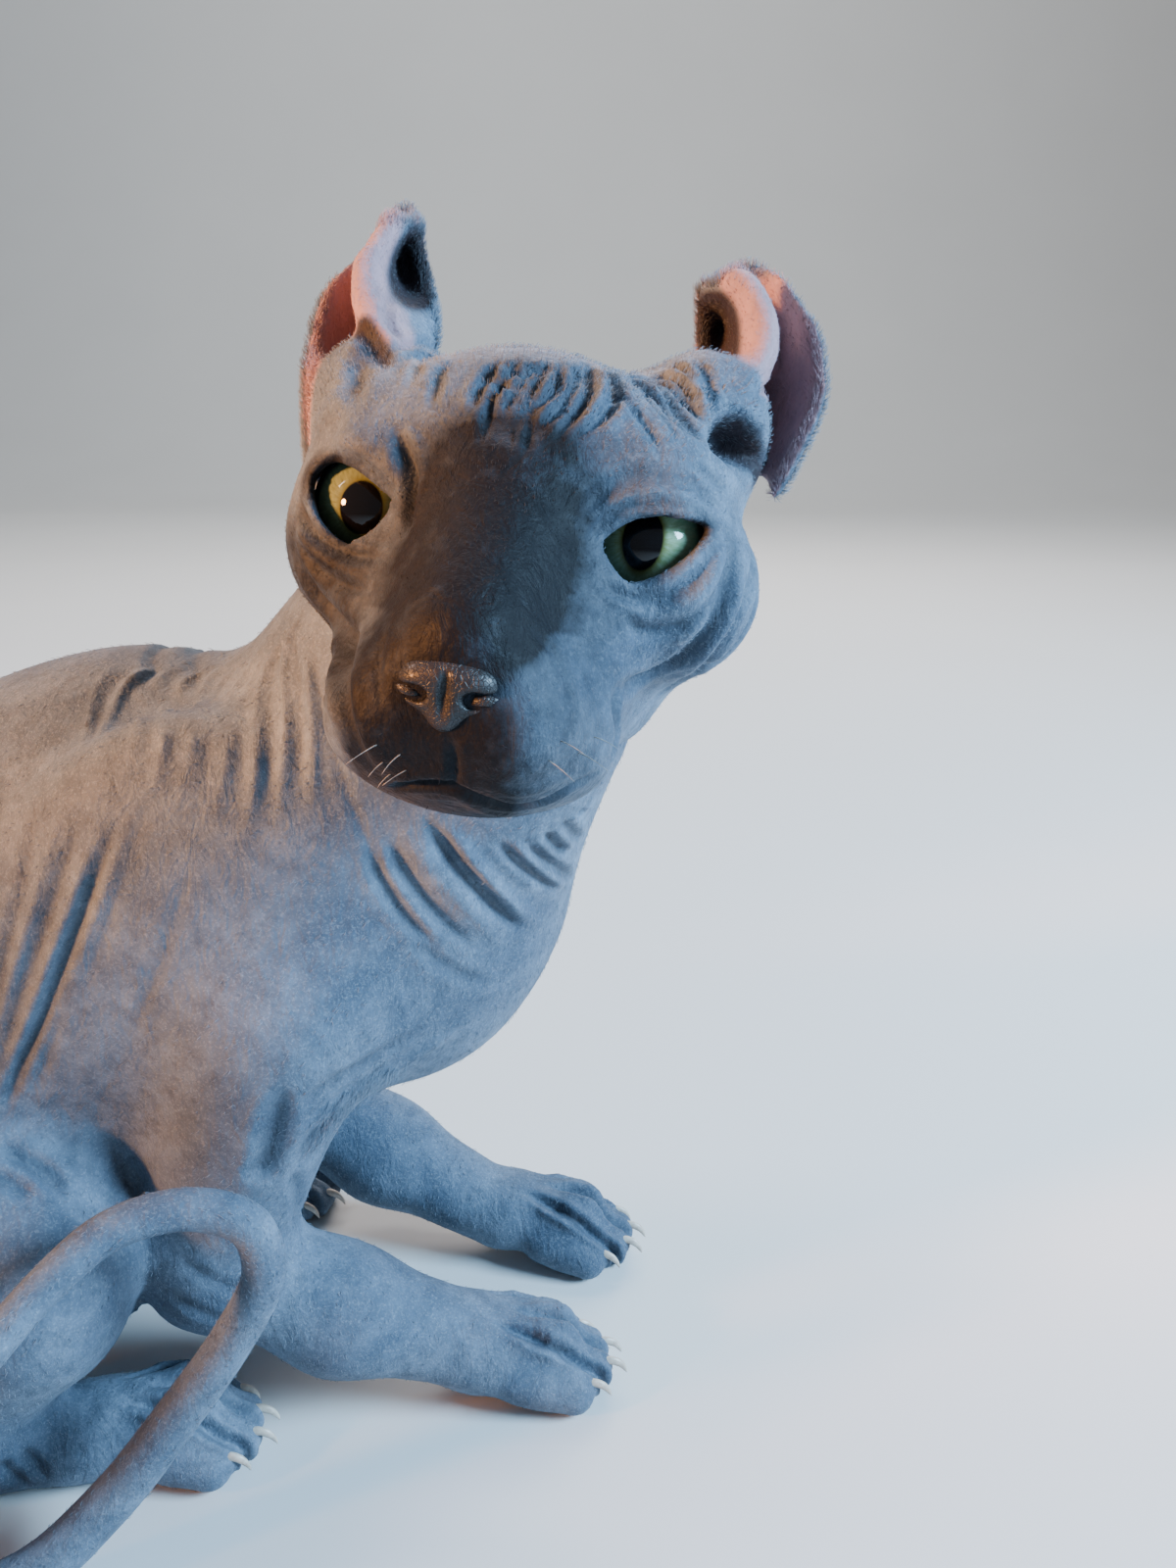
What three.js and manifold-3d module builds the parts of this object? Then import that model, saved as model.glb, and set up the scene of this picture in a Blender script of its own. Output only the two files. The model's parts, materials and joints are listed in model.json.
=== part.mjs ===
// A life-size sphynx cat crouching on the floor, with its head turned to its right.
// Millimetres, +Z up. The body faces +X and its right side faces -Y. The tail lies along
// the right side and lifts into a loop beside the hind foot.
//
// The flesh is one smooth body, a blend of tapered limbs and egg-shaped masses. It is meshed
// once coarsely, and again more finely for the head and the paws, and parted by thin cuts
// into the parts that a person would name.

import * as THREE from 'three';
import { mergeVertices } from 'three/addons/utils/BufferGeometryUtils.js';
import Module from 'manifold-3d';

const wasm = await Module();
wasm.setup();

// Driving sizes

const GAP = 0.3;
const WELD = 0.02;
const BODY_CELL = 12;
const LIMB_CELL = 8.2;
const NECK_CELL = 8.5;
const HEAD_CELL = 4.8;
const PAW_CELL = 4.6;
const NOSE_CELL = 2.6;

const RUMP_X = -222;
const HIP_Z = 104;
const RIB_X = -118;
const BACK_HEIGHT = 184;
const TRUNK_HALF_WIDTH = 49;
const CHEST_X = -54;
const CHEST_Z = 122;
const NECK_ROOT = [-62, 0, 140];
const NECK_TOP = [-21, -15, 200];
const NECK_ROOT_RADIUS = 43;
const NECK_TOP_RADIUS = 32;

const HEAD_PLACE = [-12.5, -69, 220.2];
const HEAD_YAW = -5;
const HEAD_PITCH = -9.7;
const HEAD_ROLL = 7;
const EYE_SPREAD = 22.5;
const EYE_RADIUS = 11;
const EYE_DEPTH = 1.8;
const EYE_OPENING = 19.5;
const EYE_OPENING_HEIGHT = 12.2;
const EYE_SLANT = 24;
const LID_THICKNESS = 2.1;
const CHEEK_HALF_WIDTH = 41;
const CROWN_HEIGHT = 31;
const NOSE_TIP = [0, -40, -25];
const NOSE_WIDTH = 14.4;
const CHIN_DROP = 43.5;
const EAR_THICKNESS = 2.6;

const SHOULDER = [-70, 33, 112];
const ELBOW = [-88, 35, 48];
const WRIST = [-27, 26, 14];
const HIP = [-203, 44, 85];
const KNEE = [-124, 52, 62];
const HOCK = [-192, 56, 9.6];
const LEG_PARTING = -101.2;
const LEG_SOFTNESS = 15;
const HIND_TOES = [-87, 45, 9];
const PAW_LENGTH = 34;
const PAW_WIDTH = 29;
const CLAW_LENGTH = 7;

const TAIL_ROOT_RADIUS = 9;
const TAIL_TIP_RADIUS = 3.6;
const TAIL_SIDES = 10;

// Small helpers

const rad = THREE.MathUtils.degToRad;
const lerp = THREE.MathUtils.lerp;
const point = ([x, y, z]) => new THREE.Vector3(x, y, z);
const sided = ([x, y, z], side) => [x, y * side, z];

// Forms of the flesh: each is a function of a place that is negative inside it

function egg(center, radii, turn = [0, 0, 0]) {
  const [cx, cy, cz] = center;
  const [rx, ry, rz] = radii;
  const angles = new THREE.Euler(rad(turn[0]), rad(turn[1]), rad(turn[2]));
  const m = new THREE.Matrix4().makeRotationFromEuler(angles).elements;
  return (x, y, z) => {
    const dx = x - cx;
    const dy = y - cy;
    const dz = z - cz;
    const a = (m[0] * dx + m[1] * dy + m[2] * dz) / rx;
    const b = (m[4] * dx + m[5] * dy + m[6] * dz) / ry;
    const c = (m[8] * dx + m[9] * dy + m[10] * dz) / rz;
    const near = Math.sqrt(a * a + b * b + c * c);
    const slope = Math.sqrt((a / rx) ** 2 + (b / ry) ** 2 + (c / rz) ** 2);
    return slope < 1e-9 ? -Math.min(rx, ry, rz) : near * (near - 1) / slope;
  };
}

function limb(from, to, fromRadius, toRadius) {
  const [ax, ay, az] = from;
  const ux = to[0] - ax;
  const uy = to[1] - ay;
  const uz = to[2] - az;
  const length2 = ux * ux + uy * uy + uz * uz;
  return (x, y, z) => {
    const along = ((x - ax) * ux + (y - ay) * uy + (z - az) * uz) / length2;
    const t = Math.min(1, Math.max(0, along));
    const gap = Math.hypot(x - ax - ux * t, y - ay - uy * t, z - az - uz * t);
    return gap - lerp(fromRadius, toRadius, t);
  };
}

function blend(forms, softness) {
  return (x, y, z) => {
    let value = forms[0](x, y, z);
    for (let i = 1; i < forms.length; i += 1) {
      const other = forms[i](x, y, z);
      const h = Math.max(softness - Math.abs(value - other), 0) / softness;
      value = Math.min(value, other) - h * h * softness / 4;
    }
    return value;
  };
}

// The surface of a form, as a closed mesh of about one cell's fineness inside a box

function surfaceOf(form, box, cell, shift = 0) {
  const size = box.getSize(new THREE.Vector3());
  const nx = Math.ceil(size.x / cell) + 3;
  const ny = Math.ceil(size.y / cell) + 3;
  const nz = Math.ceil(size.z / cell) + 3;
  const [x0, y0, z0] = box.min.clone().subScalar(cell * (1 + shift)).toArray();
  const inBox = (x, y, z) => Math.max(
    box.min.x - x, x - box.max.x, box.min.y - y, y - box.max.y, box.min.z - z, z - box.max.z);
  const value = (x, y, z) => Math.max(form(x, y, z), inBox(x, y, z));
  const index = (i, j, k) => (k * ny + j) * nx + i;
  const samples = new Float32Array(nx * ny * nz);
  for (let k = 0; k < nz; k += 1) {
    for (let j = 0; j < ny; j += 1) {
      for (let i = 0; i < nx; i += 1) {
        samples[index(i, j, k)] = value(x0 + i * cell, y0 + j * cell, z0 + k * cell);
      }
    }
  }
  const vertexOf = new Map();
  const positions = [];
  const corners = [0, 1, 2, 3, 4, 5, 6, 7].map((n) => [n & 1, (n >> 1) & 1, n >> 2]);
  const edges = [];
  for (let a = 0; a < 8; a += 1) {
    for (const bit of [1, 2, 4]) {
      if (!(a & bit)) {
        edges.push([a, a | bit]);
      }
    }
  }
  for (let k = 0; k < nz - 1; k += 1) {
    for (let j = 0; j < ny - 1; j += 1) {
      for (let i = 0; i < nx - 1; i += 1) {
        const at = corners.map(([a, b, c]) => samples[index(i + a, j + b, k + c)]);
        const sum = [0, 0, 0];
        let crossings = 0;
        for (const [a, b] of edges) {
          if ((at[a] < 0) !== (at[b] < 0)) {
            const t = at[a] / (at[a] - at[b]);
            sum[0] += lerp(corners[a][0], corners[b][0], t);
            sum[1] += lerp(corners[a][1], corners[b][1], t);
            sum[2] += lerp(corners[a][2], corners[b][2], t);
            crossings += 1;
          }
        }
        if (crossings > 0) {
          vertexOf.set(index(i, j, k), positions.length / 3);
          positions.push(
            x0 + (i + sum[0] / crossings) * cell,
            y0 + (j + sum[1] / crossings) * cell,
            z0 + (k + sum[2] / crossings) * cell);
        }
      }
    }
  }
  settle(positions, value, cell);
  const triangles = [];
  const steps = [[1, 0, 0], [0, 1, 0], [0, 0, 1]];
  for (let k = 1; k < nz - 1; k += 1) {
    for (let j = 1; j < ny - 1; j += 1) {
      for (let i = 1; i < nx - 1; i += 1) {
        const inside = samples[index(i, j, k)] < 0;
        for (let axis = 0; axis < 3; axis += 1) {
          const [a, b, c] = steps[axis];
          if (inside !== samples[index(i + a, j + b, k + c)] < 0) {
            const [ub, vb] = [steps[(axis + 1) % 3], steps[(axis + 2) % 3]];
            const ring = [[0, 0], [1, 0], [1, 1], [0, 1]].map(([u, w]) => vertexOf.get(index(
              i - u * ub[0] - w * vb[0], j - u * ub[1] - w * vb[1], k - u * ub[2] - w * vb[2])));
            const [p, q, r, s] = inside ? ring : ring.reverse();
            if (nearer(positions, value, p, r, q, s)) {
              triangles.push(p, q, r, p, r, s);
            } else {
              triangles.push(p, q, s, q, r, s);
            }
          }
        }
      }
    }
  }
  const geometry = new THREE.BufferGeometry();
  geometry.setAttribute('position', new THREE.Float32BufferAttribute(positions, 3));
  geometry.setIndex(triangles);
  return geometry;
}

// Whether the middle of one diagonal lies nearer the surface than that of the other

function nearer(positions, value, a, b, c, d) {
  const off = (i, j) => Math.abs(value(...[0, 1, 2].map(
    (n) => (positions[3 * i + n] + positions[3 * j + n]) / 2)));
  return off(a, b) <= off(c, d);
}

// Moves each point onto the surface, straight along the slope of the form where it starts

function settle(positions, value, cell) {
  const step = cell * 0.05;
  const farthest = cell * 0.5;
  for (let n = 0; n < positions.length; n += 3) {
    const [x, y, z] = positions.slice(n, n + 3);
    const slope = new THREE.Vector3(
      value(x + step, y, z) - value(x - step, y, z),
      value(x, y + step, z) - value(x, y - step, z),
      value(x, y, z + step) - value(x, y, z - step)).normalize();
    let moved = 0;
    for (let round = 0; round < 5; round += 1) {
      const here = value(x + slope.x * moved, y + slope.y * moved, z + slope.z * moved);
      moved = THREE.MathUtils.clamp(moved - here * 0.9, -farthest, farthest);
    }
    positions[n] = x + slope.x * moved;
    positions[n + 1] = y + slope.y * moved;
    positions[n + 2] = z + slope.z * moved;
  }
}

// Solids: closed meshes that can be joined and cut

function solid(geometry, matrix = new THREE.Matrix4()) {
  const shape = geometry.clone().applyMatrix4(matrix);
  shape.deleteAttribute('normal');
  shape.deleteAttribute('uv');
  const merged = mergeVertices(shape, 1e-4);
  const mesh = new wasm.Mesh({
    numProp: 3,
    tolerance: WELD,
    vertProperties: Float32Array.from(merged.attributes.position.array),
    triVerts: Uint32Array.from(merged.index.array),
  });
  return new wasm.Manifold(mesh);
}

// The grid is shifted a little while the surface touches itself along an edge of a cell

function surfaceSolid(form, box, cell) {
  let shift = 0;
  for (;;) {
    try {
      return solid(parted(solid(surfaceOf(form, box, cell, shift))));
    } catch (error) {
      shift += 0.11;
      if (shift > 1) {
        throw error;
      }
    }
  }
}

// Where two sheets of a surface touch at a point, each is drawn a little towards its own side

function parted(shape) {
  const { vertProperties, triVerts } = shape.getMesh();
  const at = (n) => new THREE.Vector3().fromArray(vertProperties, n * 3);
  const count = vertProperties.length / 3;
  const sharing = new Map();
  for (let n = 0; n < count; n += 1) {
    const key = at(n).toArray().map((value) => value.toFixed(3)).join();
    sharing.set(key, [...(sharing.get(key) ?? []), n]);
  }
  const touching = new Set([...sharing.values()].filter((group) => group.length > 1).flat());
  const around = new Map([...touching].map((n) => [n, []]));
  for (let n = 0; n < triVerts.length; n += 1) {
    const start = n - n % 3;
    around.get(triVerts[n])?.push(...triVerts.slice(start, start + 3));
  }
  const positions = Float32Array.from(vertProperties);
  for (const [n, others] of around) {
    const middle = new THREE.Vector3();
    others.forEach((other) => middle.addScaledVector(at(other), 1 / others.length));
    at(n).lerp(middle, 0.1).toArray(positions, n * 3);
  }
  const geometry = new THREE.BufferGeometry();
  geometry.setAttribute('position', new THREE.BufferAttribute(positions, 3));
  geometry.setIndex(new THREE.BufferAttribute(Uint32Array.from(triVerts), 1));
  return geometry;
}

function largest(shape) {
  const pieces = shape.decompose();
  return pieces.reduce((best, piece) => (piece.volume() > best.volume() ? piece : best));
}

function geometryOf(shape) {
  const mesh = largest(shape).getMesh();
  const geometry = new THREE.BufferGeometry();
  geometry.setAttribute('position', new THREE.BufferAttribute(mesh.vertProperties, 3));
  geometry.setIndex(new THREE.BufferAttribute(mesh.triVerts, 1));
  return geometry;
}

function boxSolid(low, high) {
  const size = point(high).sub(point(low));
  const middle = point(low).add(point(high)).multiplyScalar(0.5);
  const geometry = new THREE.BoxGeometry(size.x, size.y, size.z);
  return solid(geometry, new THREE.Matrix4().makeTranslation(middle));
}

function ballSolid(center, radii, columns = 16, rows = 10) {
  const geometry = new THREE.SphereGeometry(1, columns, rows);
  const scale = new THREE.Matrix4().makeScale(...radii);
  return solid(geometry, new THREE.Matrix4().makeTranslation(point(center)).multiply(scale));
}

// Everything on the far side of a plane, as a large block that starts at the plane

function beyond(place, direction, grow = 0) {
  const reach = 700;
  const way = point(direction).normalize();
  const turn = new THREE.Quaternion().setFromUnitVectors(new THREE.Vector3(0, 0, 1), way);
  const middle = point(place).addScaledVector(way, reach / 2 - grow);
  const matrix = new THREE.Matrix4().compose(middle, turn, new THREE.Vector3(1, 1, 1));
  return solid(new THREE.BoxGeometry(reach, reach, reach), matrix);
}

// An upright slab whose side view is the hull of two circles, from depth out to the side

function sideSlab(from, to, fromRadius, toRadius, depth, side, grow = 0) {
  const dx = to[0] - from[0];
  const dz = to[1] - from[1];
  const length = Math.hypot(dx, dz);
  const heading = Math.atan2(dz, dx);
  const lean = Math.acos((fromRadius - toRadius) / length);
  const shape = new THREE.Shape();
  shape.absarc(from[0], from[1], fromRadius + grow, heading + lean, heading - lean, false);
  shape.absarc(to[0], to[1], toRadius + grow, heading - lean, heading + lean, false);
  const width = 160;
  const geometry = new THREE.ExtrudeGeometry(
    shape, { depth: width, bevelEnabled: false, curveSegments: 10 });
  const near = depth - grow;
  const upright = new THREE.Matrix4().makeRotationX(Math.PI / 2);
  const start = side > 0 ? near + width : -near;
  return solid(geometry, new THREE.Matrix4().makeTranslation(0, start, 0).multiply(upright));
}

// The head's own frame: x to the cat's left, y to the back of the head, z up

const headMatrix = new THREE.Matrix4().makeTranslation(point(HEAD_PLACE))
  .multiply(new THREE.Matrix4().makeRotationZ(rad(HEAD_YAW)))
  .multiply(new THREE.Matrix4().makeRotationX(rad(HEAD_PITCH)))
  .multiply(new THREE.Matrix4().makeRotationY(rad(HEAD_ROLL)));
const fromHead = headMatrix.clone().invert();
const onHead = (place) => point(place).applyMatrix4(headMatrix).toArray();

function headForm() {
  const cheek = CHEEK_HALF_WIDTH;
  const [, noseY, noseZ] = NOSE_TIP;
  const forms = [
    egg([0, 20, CROWN_HEIGHT - 27], [33, 36, 27]),
    egg([0, 3, 9], [23, 15, 17]),
    egg([0, 42, -8], [25, 17, 24]),
    limb([0, -6, -8], [0, -22, -20], 18, 13.5),
    limb([0, -4, 9], [0, noseY + 7.5, noseZ + 7.5], 9.5, 6.4),
    egg([0, -20, -CHIN_DROP + 7.5], [10, 9.5, 7.5]),
  ];
  for (const side of [-1, 1]) {
    forms.push(
      egg([side * (cheek - 17), 8, -6], [16, 22, 15.5]),
      egg([side * 13, -9, -19], [10, 12, 12]),
      egg([side * 20, -1, 13], [13, 9, 6.5]),
      egg([side * 8.3, noseY + 12.5, -29], [9.2, 9.8, 8.8]),
      egg([side * 12, -15.5, -32.5], [10.2, 10.5, 8.6]),
      limb([side * 16, 12, -24], [side * 3, -13, -31.5], 11.5, 9.5),
      egg([side * (side > 0 ? 28 : 29), 17, side > 0 ? 21 : 17], [12, 13, 14]));
  }
  const face = blend(forms, 9);
  const m = fromHead.elements;
  return (x, y, z) => face(
    m[0] * x + m[4] * y + m[8] * z + m[12],
    m[1] * x + m[5] * y + m[9] * z + m[13],
    m[2] * x + m[6] * y + m[10] * z + m[14]);
}

// The trunk and neck

function trunkForms() {
  const width = TRUNK_HALF_WIDTH;
  return [
    egg([RUMP_X, 0, HIP_Z], [38, width - 2, 58]),
    egg([-182, 0, BACK_HEIGHT - 71], [52, width, 66]),
    egg([-160, 0, 84], [62, width + 3, 60]),
    egg([RIB_X, 0, BACK_HEIGHT - 66], [54, width - 1, 65]),
    egg([CHEST_X, 0, CHEST_Z], [45, 42, 43]),
    egg([-98, 0, BACK_HEIGHT - 26], [26, 22, 27]),
    limb(NECK_ROOT, NECK_TOP, NECK_ROOT_RADIUS, NECK_TOP_RADIUS),
    limb([-34, 0, 138], [-14, -20, 176], 29, 22),
    limb([-252, 0, 74], [-264, -6, 40], 18, 10),
  ];
}

// A foreleg and a hind leg, of the side given

function forelegForms(side) {
  const at = (place) => sided(place, side);
  return [
    egg(at([-86, 36, 138]), [33, 15, 42], [0, 14, 0]),
    limb(at(SHOULDER), at(ELBOW), 23, 14.5),
    egg(at([ELBOW[0] - 4, ELBOW[1], ELBOW[2] - 3]), [10, 9, 9]),
    limb(at(ELBOW), at([-60, 32, 30]), 14.5, 13.5),
    limb(at([-60, 32, 30]), at(WRIST), 13.5, 10.5),
  ];
}

function hindLegForms(side) {
  const at = (place) => sided(place, side);
  return [
    egg(at(HIP), [48, 27, 50]),
    limb(at([-190, 44, 84]), at(KNEE), 36, 22.5),
    limb(at([KNEE[0] + 1, KNEE[1] + 1, KNEE[2] - 12]), at([-146, 56, 24]), 19, 15),
    limb(at([-146, 56, 24]), at(HOCK), 15, 10),
    limb(at(HOCK), at([-120, 50, 10]), 10, 10.5),
  ];
}

// A paw: its back, four toes that spread a little, and the pad under them

function pawFrame(heel, heading) {
  const turn = new THREE.Matrix4().makeRotationZ(rad(heading));
  return new THREE.Matrix4().makeTranslation(heel[0], heel[1], 0).multiply(turn);
}

function toePlaces(side) {
  return [0, 1, 2, 3].map((n) => {
    const spread = (n - 1.5) / 1.5;
    const middle = Math.abs(n - 1.5) < 1;
    const reach = PAW_LENGTH * (middle ? 0.8 : 0.64) + spread * side * 0.8;
    return { spread, reach, y: spread * PAW_WIDTH * 0.34 };
  });
}

function pawForms(heel, heading, side) {
  const frame = pawFrame(heel, heading);
  const put = (x, y, z) => new THREE.Vector3(x, y, z).applyMatrix4(frame).toArray();
  const forms = [
    limb(heel, put(PAW_LENGTH * 0.42, 0, 10.5), 10.5, 10.8),
    egg(put(PAW_LENGTH * 0.45, 0, 7), [12, PAW_WIDTH * 0.42, 9], [0, 0, heading]),
  ];
  for (const toe of toePlaces(side)) {
    forms.push(limb(
      put(toe.reach - 13, toe.y * 0.8, 9), put(toe.reach, toe.y, 5.6), 5.4, 5.2));
  }
  return forms;
}

function clawSolids(heel, heading, side) {
  const frame = pawFrame(heel, heading);
  return toePlaces(side).map((toe) => {
    const cone = new THREE.ConeGeometry(1.5, CLAW_LENGTH, 6);
    const place = new THREE.Matrix4().makeTranslation(toe.reach + 5.6, toe.y * 1.05, 5.2);
    const lean = new THREE.Matrix4().makeRotationZ(rad(-98));
    const tip = new THREE.Matrix4().makeRotationY(rad(22));
    return solid(cone, frame.clone().multiply(place).multiply(tip).multiply(lean));
  });
}

// Lids, sockets, lips and nostrils

const eyeCenter = (side) => [side * EYE_SPREAD, EYE_DEPTH, 0];

function eyeOpening(side) {
  const half = EYE_OPENING / 2;
  const high = EYE_OPENING_HEIGHT * 0.98;
  const shape = new THREE.Shape();
  shape.moveTo(-half, 0);
  shape.bezierCurveTo(-half * 0.5, high * 0.72, half * 0.5, high * 0.72, half, 0);
  shape.bezierCurveTo(half * 0.5, -high * 0.62, -half * 0.5, -high * 0.62, -half, 0);
  const geometry = new THREE.ExtrudeGeometry(
    shape, { depth: 24, bevelEnabled: false, curveSegments: 9 });
  const slant = new THREE.Matrix4().makeRotationZ(rad(side * EYE_SLANT));
  const upright = new THREE.Matrix4().makeRotationX(Math.PI / 2);
  const place = new THREE.Matrix4().makeTranslation(...eyeCenter(side));
  return solid(geometry, headMatrix.clone().multiply(place).multiply(upright).multiply(slant));
}

function lidSolid(side) {
  const radius = EYE_RADIUS + LID_THICKNESS;
  return ballSolid(onHead(eyeCenter(side)), [radius, radius, radius], 16, 10);
}

function socketSolid(side) {
  const radius = EYE_RADIUS + GAP;
  return ballSolid(onHead(eyeCenter(side)), [radius, radius, radius], 16, 10);
}

// The place on the skin straight in front of a place in the head's frame

function onFace([x, z]) {
  let out = -60;
  let inside = 0;
  for (let round = 0; round < 20; round += 1) {
    const middle = (out + inside) / 2;
    if (trunkFlesh(...onHead([x, middle, z])) < 0) {
      inside = middle;
    } else {
      out = middle;
    }
  }
  return onHead([x, inside, z]);
}

function grooveSolid(places, radius) {
  const path = new THREE.CatmullRomCurve3(places.map((place) => point(onFace(place))));
  const section = new THREE.Shape();
  section.absarc(0, 0, radius, 0, Math.PI * 2);
  return solid(new THREE.ExtrudeGeometry(
    section, { extrudePath: path, steps: places.length * 2, curveSegments: 3 }));
}

function mouthGrooves() {
  const cleft = grooveSolid([[0, -31], [0, -34], [0, -37.5]], 0.9);
  const lips = grooveSolid([
    [-21, -34.5], [-15, -37.5], [-8, -38.8], [0, -37.4], [8, -38.8], [15, -37.5], [21, -34.5]], 1.3);
  return cleft.add(lips);
}

function noseForm(grow) {
  const [, y, z] = NOSE_TIP;
  const half = NOSE_WIDTH / 2;
  const pad = blend([
    egg([0, y + 4, z + 2.6], [half - 0.4, 4.6, 3.2]),
    egg([-half + 3.4, y + 4.6, z + 0.6], [3.5, 4.2, 3.4]),
    egg([half - 3.4, y + 4.6, z + 0.6], [3.5, 4.2, 3.4]),
    egg([0, y + 3.8, z - 1.8], [3, 3.6, 3.4]),
  ], 2.4);
  const m = fromHead.elements;
  return (x, yy, zz) => pad(
    m[0] * x + m[4] * yy + m[8] * zz + m[12],
    m[1] * x + m[5] * yy + m[9] * zz + m[13],
    m[2] * x + m[6] * yy + m[10] * zz + m[14]) - grow;
}

function noseSolid(grow) {
  const middle = point(onHead(NOSE_TIP));
  const box = new THREE.Box3().setFromCenterAndSize(middle, new THREE.Vector3(30, 24, 24));
  return surfaceSolid(noseForm(grow), box, NOSE_CELL);
}

function nostrilSolid(side) {
  const [, y, z] = NOSE_TIP;
  return ballSolid(onHead([side * 4.3, y + 0.4, z + 0.2]), [1.9, 2.6, 1.5], 10, 6);
}

// An ear: a cupped leaf of one thickness, whose tip curls over

const EARS = {
  left: {
    root: [27, 19, 17],
    up: [0.3, 0.16, 0.94],
    face: [0.72, -0.68, -0.1],
    over: [-0.86, -0.5, 0.1],
    length: 40,
    halfWidth: 16,
    curl: 155,
  },
  right: {
    root: [-27, 21, 14],
    up: [-0.12, 0.1, 0.98],
    face: [-0.74, -0.66, 0.1],
    over: [0.12, 0.98, 0],
    length: 49,
    halfWidth: 16,
    curl: 120,
  },
};

function earPoint(ear, across, along) {
  const up = point(ear.up).normalize();
  const face = point(ear.face).addScaledVector(up, -point(ear.face).dot(up)).normalize();
  const hinge = new THREE.Vector3().crossVectors(up, point(ear.over)).normalize();
  const steps = 12;
  const spine = point(ear.root);
  let bend = 0;
  for (let n = 0; n < steps; n += 1) {
    const t = along * (n + 0.5) / steps;
    bend = rad(ear.curl) * t ** 3.4;
    spine.addScaledVector(up.clone().applyAxisAngle(hinge, bend), ear.length * along / steps);
  }
  const front = face.clone().applyAxisAngle(hinge, bend);
  const span = new THREE.Vector3().crossVectors(up, face).applyAxisAngle(hinge, bend);
  const half = ear.halfWidth * (0.52 + 1.55 * along - 1.81 * along ** 2);
  const wrap = rad(lerp(150, 46, along ** 0.5));
  const angle = wrap * across;
  return spine.addScaledVector(span, half * Math.sin(angle))
    .addScaledVector(front, half * 0.85 * (1 - Math.cos(angle)));
}

function earSolid(ear) {
  const columns = 10;
  const rows = 9;
  const positions = [];
  const triangles = [];
  const nudge = 0.02;
  for (const face of [1, -1]) {
    for (let row = 0; row <= rows; row += 1) {
      for (let column = 0; column <= columns; column += 1) {
        const across = column / columns * 2 - 1;
        const along = row / rows;
        const here = earPoint(ear, across, along);
        const over = earPoint(ear, across + nudge, along).sub(here);
        const upward = earPoint(ear, across, along + nudge).sub(here);
        const normal = over.cross(upward).normalize();
        const rim = Math.min(1, 2.4 * (1 - Math.abs(across)) + 0.45);
        const half = EAR_THICKNESS / 2 * rim * lerp(1.15, 0.8, along);
        here.addScaledVector(normal, face * half).applyMatrix4(headMatrix);
        positions.push(here.x, here.y, here.z);
      }
    }
  }
  const at = (face, row, column) => (face * (rows + 1) + row) * (columns + 1) + column;
  const quad = (a, b, c, d) => triangles.push(a, b, c, a, c, d);
  for (let row = 0; row < rows; row += 1) {
    for (let column = 0; column < columns; column += 1) {
      quad(at(0, row, column), at(0, row, column + 1), at(0, row + 1, column + 1),
        at(0, row + 1, column));
      quad(at(1, row, column), at(1, row + 1, column), at(1, row + 1, column + 1),
        at(1, row, column + 1));
    }
    quad(at(0, row, 0), at(0, row + 1, 0), at(1, row + 1, 0), at(1, row, 0));
    quad(at(0, row, columns), at(1, row, columns), at(1, row + 1, columns),
      at(0, row + 1, columns));
  }
  for (let column = 0; column < columns; column += 1) {
    quad(at(0, 0, column), at(1, 0, column), at(1, 0, column + 1), at(0, 0, column + 1));
    quad(at(0, rows, column), at(0, rows, column + 1), at(1, rows, column + 1),
      at(1, rows, column));
  }
  const geometry = new THREE.BufferGeometry();
  geometry.setAttribute('position', new THREE.Float32BufferAttribute(positions, 3));
  geometry.setIndex(triangles);
  return solid(geometry);
}

// The tail: round rings along one curve, cut square into lengths

const tailCurve = new THREE.CatmullRomCurve3([
  [-252, 0, 62], [-264, -8, 36], [-266, -30, 15], [-254, -62, 8.8], [-222, -84, 7.7],
  [-180, -94, 6.9], [-146, -93, 6.5], [-118, -84, 7.2], [-102, -75, 17.6], [-88, -69, 34],
  [-75, -65, 52], [-67, -65, 69], [-69, -66, 81.5], [-80, -69, 87.5], [-93, -75, 87],
  [-103, -84, 81], [-111, -93, 73.5], [-119, -101, 66],
].map(point), false, 'centripetal');

function tailRadius(t) {
  return lerp(TAIL_ROOT_RADIUS, TAIL_TIP_RADIUS, t ** 0.8);
}

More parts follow.
